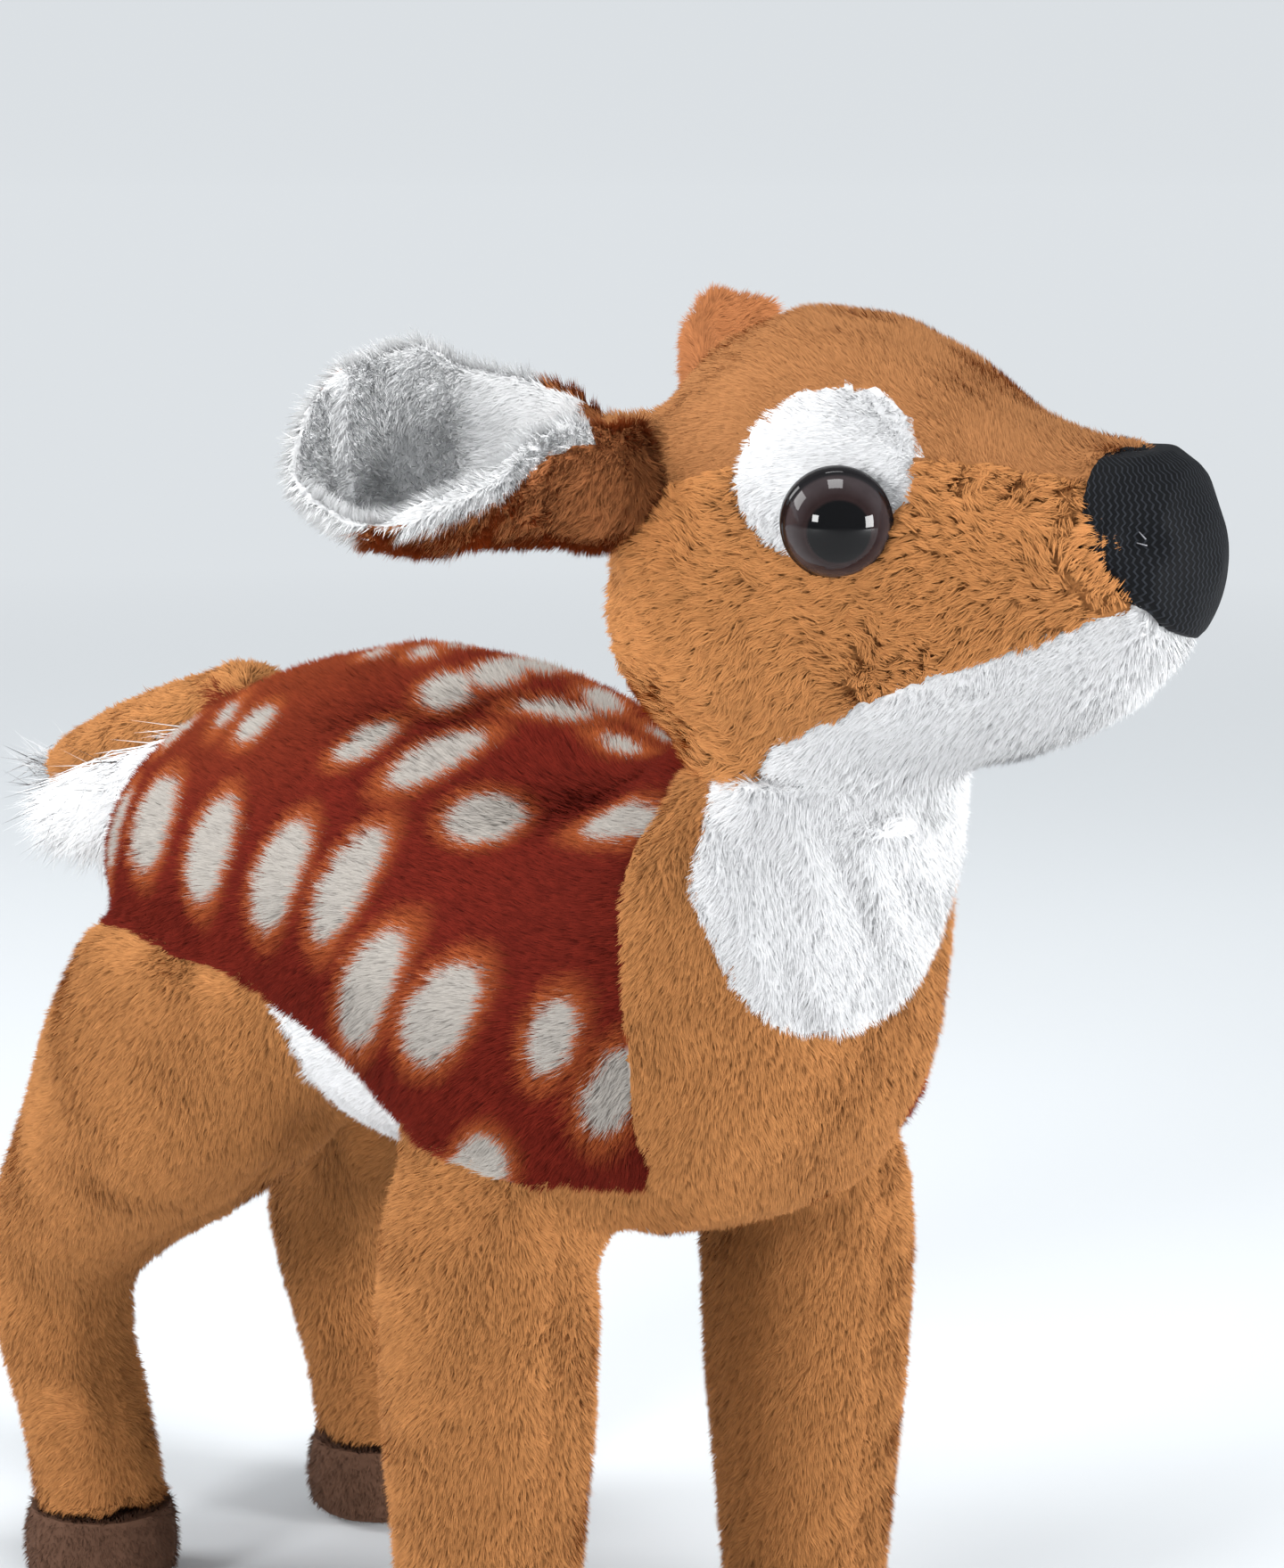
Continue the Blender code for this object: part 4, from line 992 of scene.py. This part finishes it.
class FAWN_OT_eyes(bpy.types.Operator):
    """Makes the domed eyes"""

    bl_idname = "fawn.eyes"
    bl_label = "Eyes"

    def execute(self, context):
        material = lens_material()
        radius, height, skirt = 7.0 * MM, 4.8 * MM, 2.6 * MM
        sphere = (radius**2 + height**2) / (2 * height)
        half_angle = math.asin(radius / sphere)
        for side in ("left", "right"):
            apex, facing = eye_seat(side)
            shape = bmesh.new()
            profile = []
            for step in range(25):
                angle = half_angle * step / 24
                profile.append((sphere * math.sin(angle), sphere * (math.cos(angle) - 1)))
            profile += [(radius + 0.25 * MM, -height - 0.25 * MM), (radius + 0.25 * MM, -height - skirt)]
            verts = [shape.verts.new((x, 0, z)) for x, z in profile]
            edges = [shape.edges.new(pair) for pair in zip(verts, verts[1:])]
            bmesh.ops.spin(
                shape,
                geom=verts + edges,
                cent=(0, 0, 0),
                axis=(0, 0, 1),
                angle=math.tau,
                steps=64,
                use_merge=True,
                use_duplicate=False,
            )
            bmesh.ops.remove_doubles(shape, verts=shape.verts, dist=0.005 * MM)
            bmesh.ops.recalc_face_normals(shape, faces=shape.faces)
            mesh = mesh_of(shape, f"eye_{side}_dome")
            if mesh.polygons[0].normal.z < 0:
                mesh.flip_normals()
            points = points_of(mesh)
            set_numbers(mesh, "radial", np.hypot(points[:, 0], points[:, 1]) / radius)
            mesh.transform(Matrix.Translation(apex) @ facing.to_track_quat("Z", "Y").to_matrix().to_4x4())
            mesh.shade_smooth()
            mesh.materials.append(material)
            eye = link(bpy.data.objects.new(f"eye_{side}_dome", mesh))
            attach(eye, "head")
            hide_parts("eye_" + side)
        washer = Shader("washer_plastic", Roughness=0.45)
        speckle = washer.noise(washer.place(), 400)
        washer.set("Base_Color", washer.blend(speckle, (0.70, 0.70, 0.66), (0.78, 0.78, 0.75)))
        for side in ("left", "right"):
            node = nodes["eye_washer_" + side]
            node.data.materials.clear()
            node.data.materials.append(washer.material)
        return {"FINISHED"}


def twill_material(colours):
    """Black cloth, woven in columns of zigzag thread, with a painted sheen on the threads."""
    shader = Shader("nose_twill", Roughness=0.65, Specular_IOR_Level=0.08)
    around = shader.attribute("around")
    height = shader.attribute("height")
    zigzag = (height / 1.1).maths("PINGPONG", 0.5)
    wave = (around / 0.85 + zigzag * 0.9).maths("PINGPONG", 0.5)
    thread = ((wave - 0.30) / 0.12).clamped()
    grey = shader.noise(shader.place(), 1800, 2)
    # The weave is the cloth's own; the paler colour on its threads, up to six times the black, is a painted sheen
    woven = shader.blend((thread * grey * 1.5).clamped(), colours.nose, tinted(colours.nose, 6, 6, 6))
    shader.set("Base_Color", shader.blend(shader.attribute("stitch"), woven, (0.26, 0.26, 0.28)))
    shader.set("Normal", shader.bump(thread + grey * 0.3, 0.15 * MM, 0.6))
    return shader.material


# The nose's dimples: how far out as a share of its radius, then how high, how wide and how deep in mm
DIMPLE_OUT, DIMPLE_UP, DIMPLE_WIDE, DIMPLE_DEEP = 0.80, 2, 2.1, 1.9


class FAWN_OT_nose(bpy.types.Operator):
    """Makes the woven nose patch, dimpled by its stitches"""

    bl_idname = "fawn.nose"
    bl_label = "Nose"

    def execute(self, context):
        colours = context.scene.fawn_colours
        nose = soft_form("nose_cloth", [nodes["nose_patch"].data], 0.8 * MM, 0.6 * MM, 8, 0.2 * MM)
        points = points_of(nose.data)
        low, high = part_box("nose_patch")
        middle = np.array((low + high) / 2)
        ahead = (points - middle) @ np.array(head_ahead)
        left = (points - middle) @ np.array(head_left)
        height = points[:, 2] - middle[2]
        radius = (left.max() - left.min()) / 2
        around = np.arctan2(left, ahead + radius * 0.6) * radius
        set_numbers(nose.data, "around", around / MM)
        set_numbers(nose.data, "height", height / MM)
        for side in (1, -1):
            dimple = middle - np.array(head_left) * side * radius * DIMPLE_OUT + np.array(UP) * DIMPLE_UP * MM
            beside = np.hypot(left + side * radius * DIMPLE_OUT, height - DIMPLE_UP * MM)
            near = np.exp(-((beside / (DIMPLE_WIDE * MM)) ** 2))
            front = ahead > np.percentile(ahead, 20)
            inward = unit(middle - dimple - np.array(head_ahead) * radius)
            points += inward * (near * front * DIMPLE_DEEP * MM)[:, None]
        nose.data.vertices.foreach_set("co", points.ravel())
        nose.data.attributes.new("stitch", "FLOAT", "POINT")
        cloth = bmesh.new()
        cloth.from_mesh(nose.data)
        skin = BVHTree.FromBMesh(cloth)
        stitch = cloth.verts.layers.float["stitch"]
        for side in (1, -1):
            for rise, turn in ((2.7, 1.1), (1.5, 0.25)):
                start = Vector(middle) + head_ahead * 3.2 * MM - head_left * side * radius * 1.3 + UP * rise * MM
                place, facing, _, _ = skin.ray_cast(start, head_left * side)
                lie = (facing.cross(UP) * side + UP * turn).normalized()
                seat = Matrix.Translation(place + facing * 0.1 * MM) @ lie.to_track_quat("Z", "Y").to_matrix().to_4x4()
                thread = bmesh.ops.create_cone(
                    cloth, cap_ends=True, segments=8, radius1=0.10 * MM, radius2=0.06 * MM, depth=1.4 * MM, matrix=seat
                )
                for vertex in thread["verts"]:
                    vertex[stitch] = 1.0
        cloth.to_mesh(nose.data)
        cloth.free()
        nose.data.shade_smooth()
        nose.data.materials.append(twill_material(colours))
        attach(nose, "head")
        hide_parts("nose_patch")
        return {"FINISHED"}


class FAWN_OT_stage(bpy.types.Operator):
    """Makes the floor and wall, the lights and the camera"""

    bl_idname = "fawn.stage"
    bl_label = "Stage"

    def execute(self, context):
        stage = context.scene.fawn_stage
        azimuth, elevation = stage.azimuth, stage.elevation
        away = Vector(
            (
                math.sin(azimuth) * math.cos(elevation),
                -math.cos(azimuth) * math.cos(elevation),
                math.sin(elevation),
            )
        )
        target = origin + Vector((-2 * MM, 0, 142.6 * MM))
        camera = bpy.data.cameras.new("camera")
        camera.lens = stage.lens
        camera.sensor_fit = "HORIZONTAL"
        camera.sensor_width = 36
        eye = link(bpy.data.objects.new("camera", camera))
        eye.location = target + away * stage.distance
        eye.rotation_euler = (-away).to_track_quat("-Z", "Y").to_euler()
        context.scene.camera = eye

        back = Vector((-away.x, -away.y, 0)).normalized()
        side = back.cross(UP)
        sweep = bmesh.new()
        profile = [(-2.6, 0.0)]
        radius, reach = 0.3, 2.6
        for step in range(13):
            angle = math.pi / 2 * step / 12
            profile.append((reach - radius + radius * math.sin(angle), radius - radius * math.cos(angle)))
        profile.append((reach, 2.2))
        verts = [sweep.verts.new(back * x + UP * z - side * 3) for x, z in profile]
        edges = [sweep.edges.new(pair) for pair in zip(verts, verts[1:])]
        pulled = bmesh.ops.extrude_edge_only(sweep, edges=edges)["geom"]
        bmesh.ops.translate(sweep, verts=[v for v in pulled if isinstance(v, bmesh.types.BMVert)], vec=side * 6)
        bmesh.ops.recalc_face_normals(sweep, faces=sweep.faces)
        mesh = mesh_of(sweep, "backdrop")
        if mesh.polygons[0].normal.z < 0:
            mesh.flip_normals()
        mesh.shade_smooth()
        paper = Shader("paper", Roughness=0.9, Specular_IOR_Level=0.2)
        # Painted shade: the floor's colour as the camera sees it is darker towards the back, down to 0.86 of itself
        behind = paper.dot(paper.place(), tuple(back))
        floor = paper.blend((behind * 1.1 - 0.05).clamped(), stage.floor, scaled(stage.floor, 0.86))
        seen = paper.node("ShaderNodeLightPath", output="Is Camera Ray")
        reached = paper.node("ShaderNodeVectorMath", {"operation": "LENGTH"}, {0: paper.place()}, "Value")
        far = ((reached - 0.55) * 2.2).clamped() * seen
        paper.set("Base_Color", paper.blend(far, paper.blend(seen, (0.82, 0.83, 0.84), floor), (0, 0, 0)))
        paper.set("Emission_Color", paper.blend(far, (0, 0, 0), stage.wall))
        paper.set("Emission_Strength", 1.0)
        mesh.materials.append(paper.material)
        backdrop = link(bpy.data.objects.new("backdrop", mesh))

        lamps = (
            ("top", 0.0, 1.20, 0.12, 0.46, 8.8),
            ("right", 1.00, 0.08, 0.45, 0.34, 12.4),
            ("left", -0.78, 0.26, 0.90, 0.26, 9.0),
            ("rear", -1.05, 0.60, -0.10, 0.50, 8.0),
        )
        for name, sideways, height, near, size, power in lamps:
            lamp = bpy.data.lights.new(name, "AREA")
            lamp.size = size
            lamp.energy = power
            lamp_object = link(bpy.data.objects.new(name, lamp))
            lamp_object.location = target + side * sideways + UP * height - back * near
            lamp_object.rotation_euler = (target - lamp_object.location).to_track_quat("-Z", "Y").to_euler()
        world = bpy.data.worlds.new("room")
        world.use_nodes = True
        room, links = world.node_tree.nodes, world.node_tree.links
        background = room["Background"]
        background.inputs["Color"].default_value = (0.93, 0.97, 1.0, 1)
        background.inputs["Strength"].default_value = 0.46
        shown = room.new("ShaderNodeBackground")
        shown.inputs["Color"].default_value = (*stage.wall, 1)
        path, either = room.new("ShaderNodeLightPath"), room.new("ShaderNodeMixShader")
        links.new(path.outputs["Is Camera Ray"], either.inputs["Fac"])
        links.new(background.outputs["Background"], either.inputs[1])
        links.new(shown.outputs["Background"], either.inputs[2])
        links.new(either.outputs["Shader"], room["World Output"].inputs["Surface"])
        context.scene.world = world
        context.scene.view_settings.view_transform = "Standard"
        return {"FINISHED"}


class FAWN_PT_panel(bpy.types.Panel):
    """Lists the fawn's pieces and their settings"""

    bl_idname = "FAWN_PT_panel"
    bl_label = "Plush fawn"
    bl_space_type = "VIEW_3D"
    bl_region_type = "UI"
    bl_category = "Fawn"

    def draw(self, context):
        layout = self.layout
        for operator in OPERATORS:
            layout.operator(operator.bl_idname)
        for group in (name for name, _ in GROUPS):
            settings = getattr(context.scene, group)
            for field in settings.__annotations__:
                layout.prop(settings, field)


OPERATORS = (
    FAWN_OT_stage,
    FAWN_OT_body,
    FAWN_OT_hooves,
    FAWN_OT_head,
    FAWN_OT_tail,
    FAWN_OT_ears,
    FAWN_OT_eyes,
    FAWN_OT_nose,
)
GROUPS = (
    ("fawn_cloth", FawnCloth),
    ("fawn_pile", FawnPile),
    ("fawn_colours", FawnColours),
    ("fawn_stage", FawnStage),
)
finishes = {}


def materials():
    """The pile materials, made once."""
    if not finishes:
        finishes.update(make_materials())
    return finishes


def register():
    for name, group in GROUPS:
        bpy.utils.register_class(group)
        setattr(bpy.types.Scene, name, PointerProperty(type=group))
    for operator in (*OPERATORS, FAWN_PT_panel):
        bpy.utils.register_class(operator)


def unregister():
    for operator in reversed((*OPERATORS, FAWN_PT_panel)):
        bpy.utils.unregister_class(operator)
    for name, group in reversed(GROUPS):
        delattr(bpy.types.Scene, name)
        bpy.utils.unregister_class(group)


def main():
    register()
    for operator in OPERATORS:
        package, action = operator.bl_idname.split(".")
        getattr(getattr(bpy.ops, package), action)()


if __name__ == "__main__":
    main()
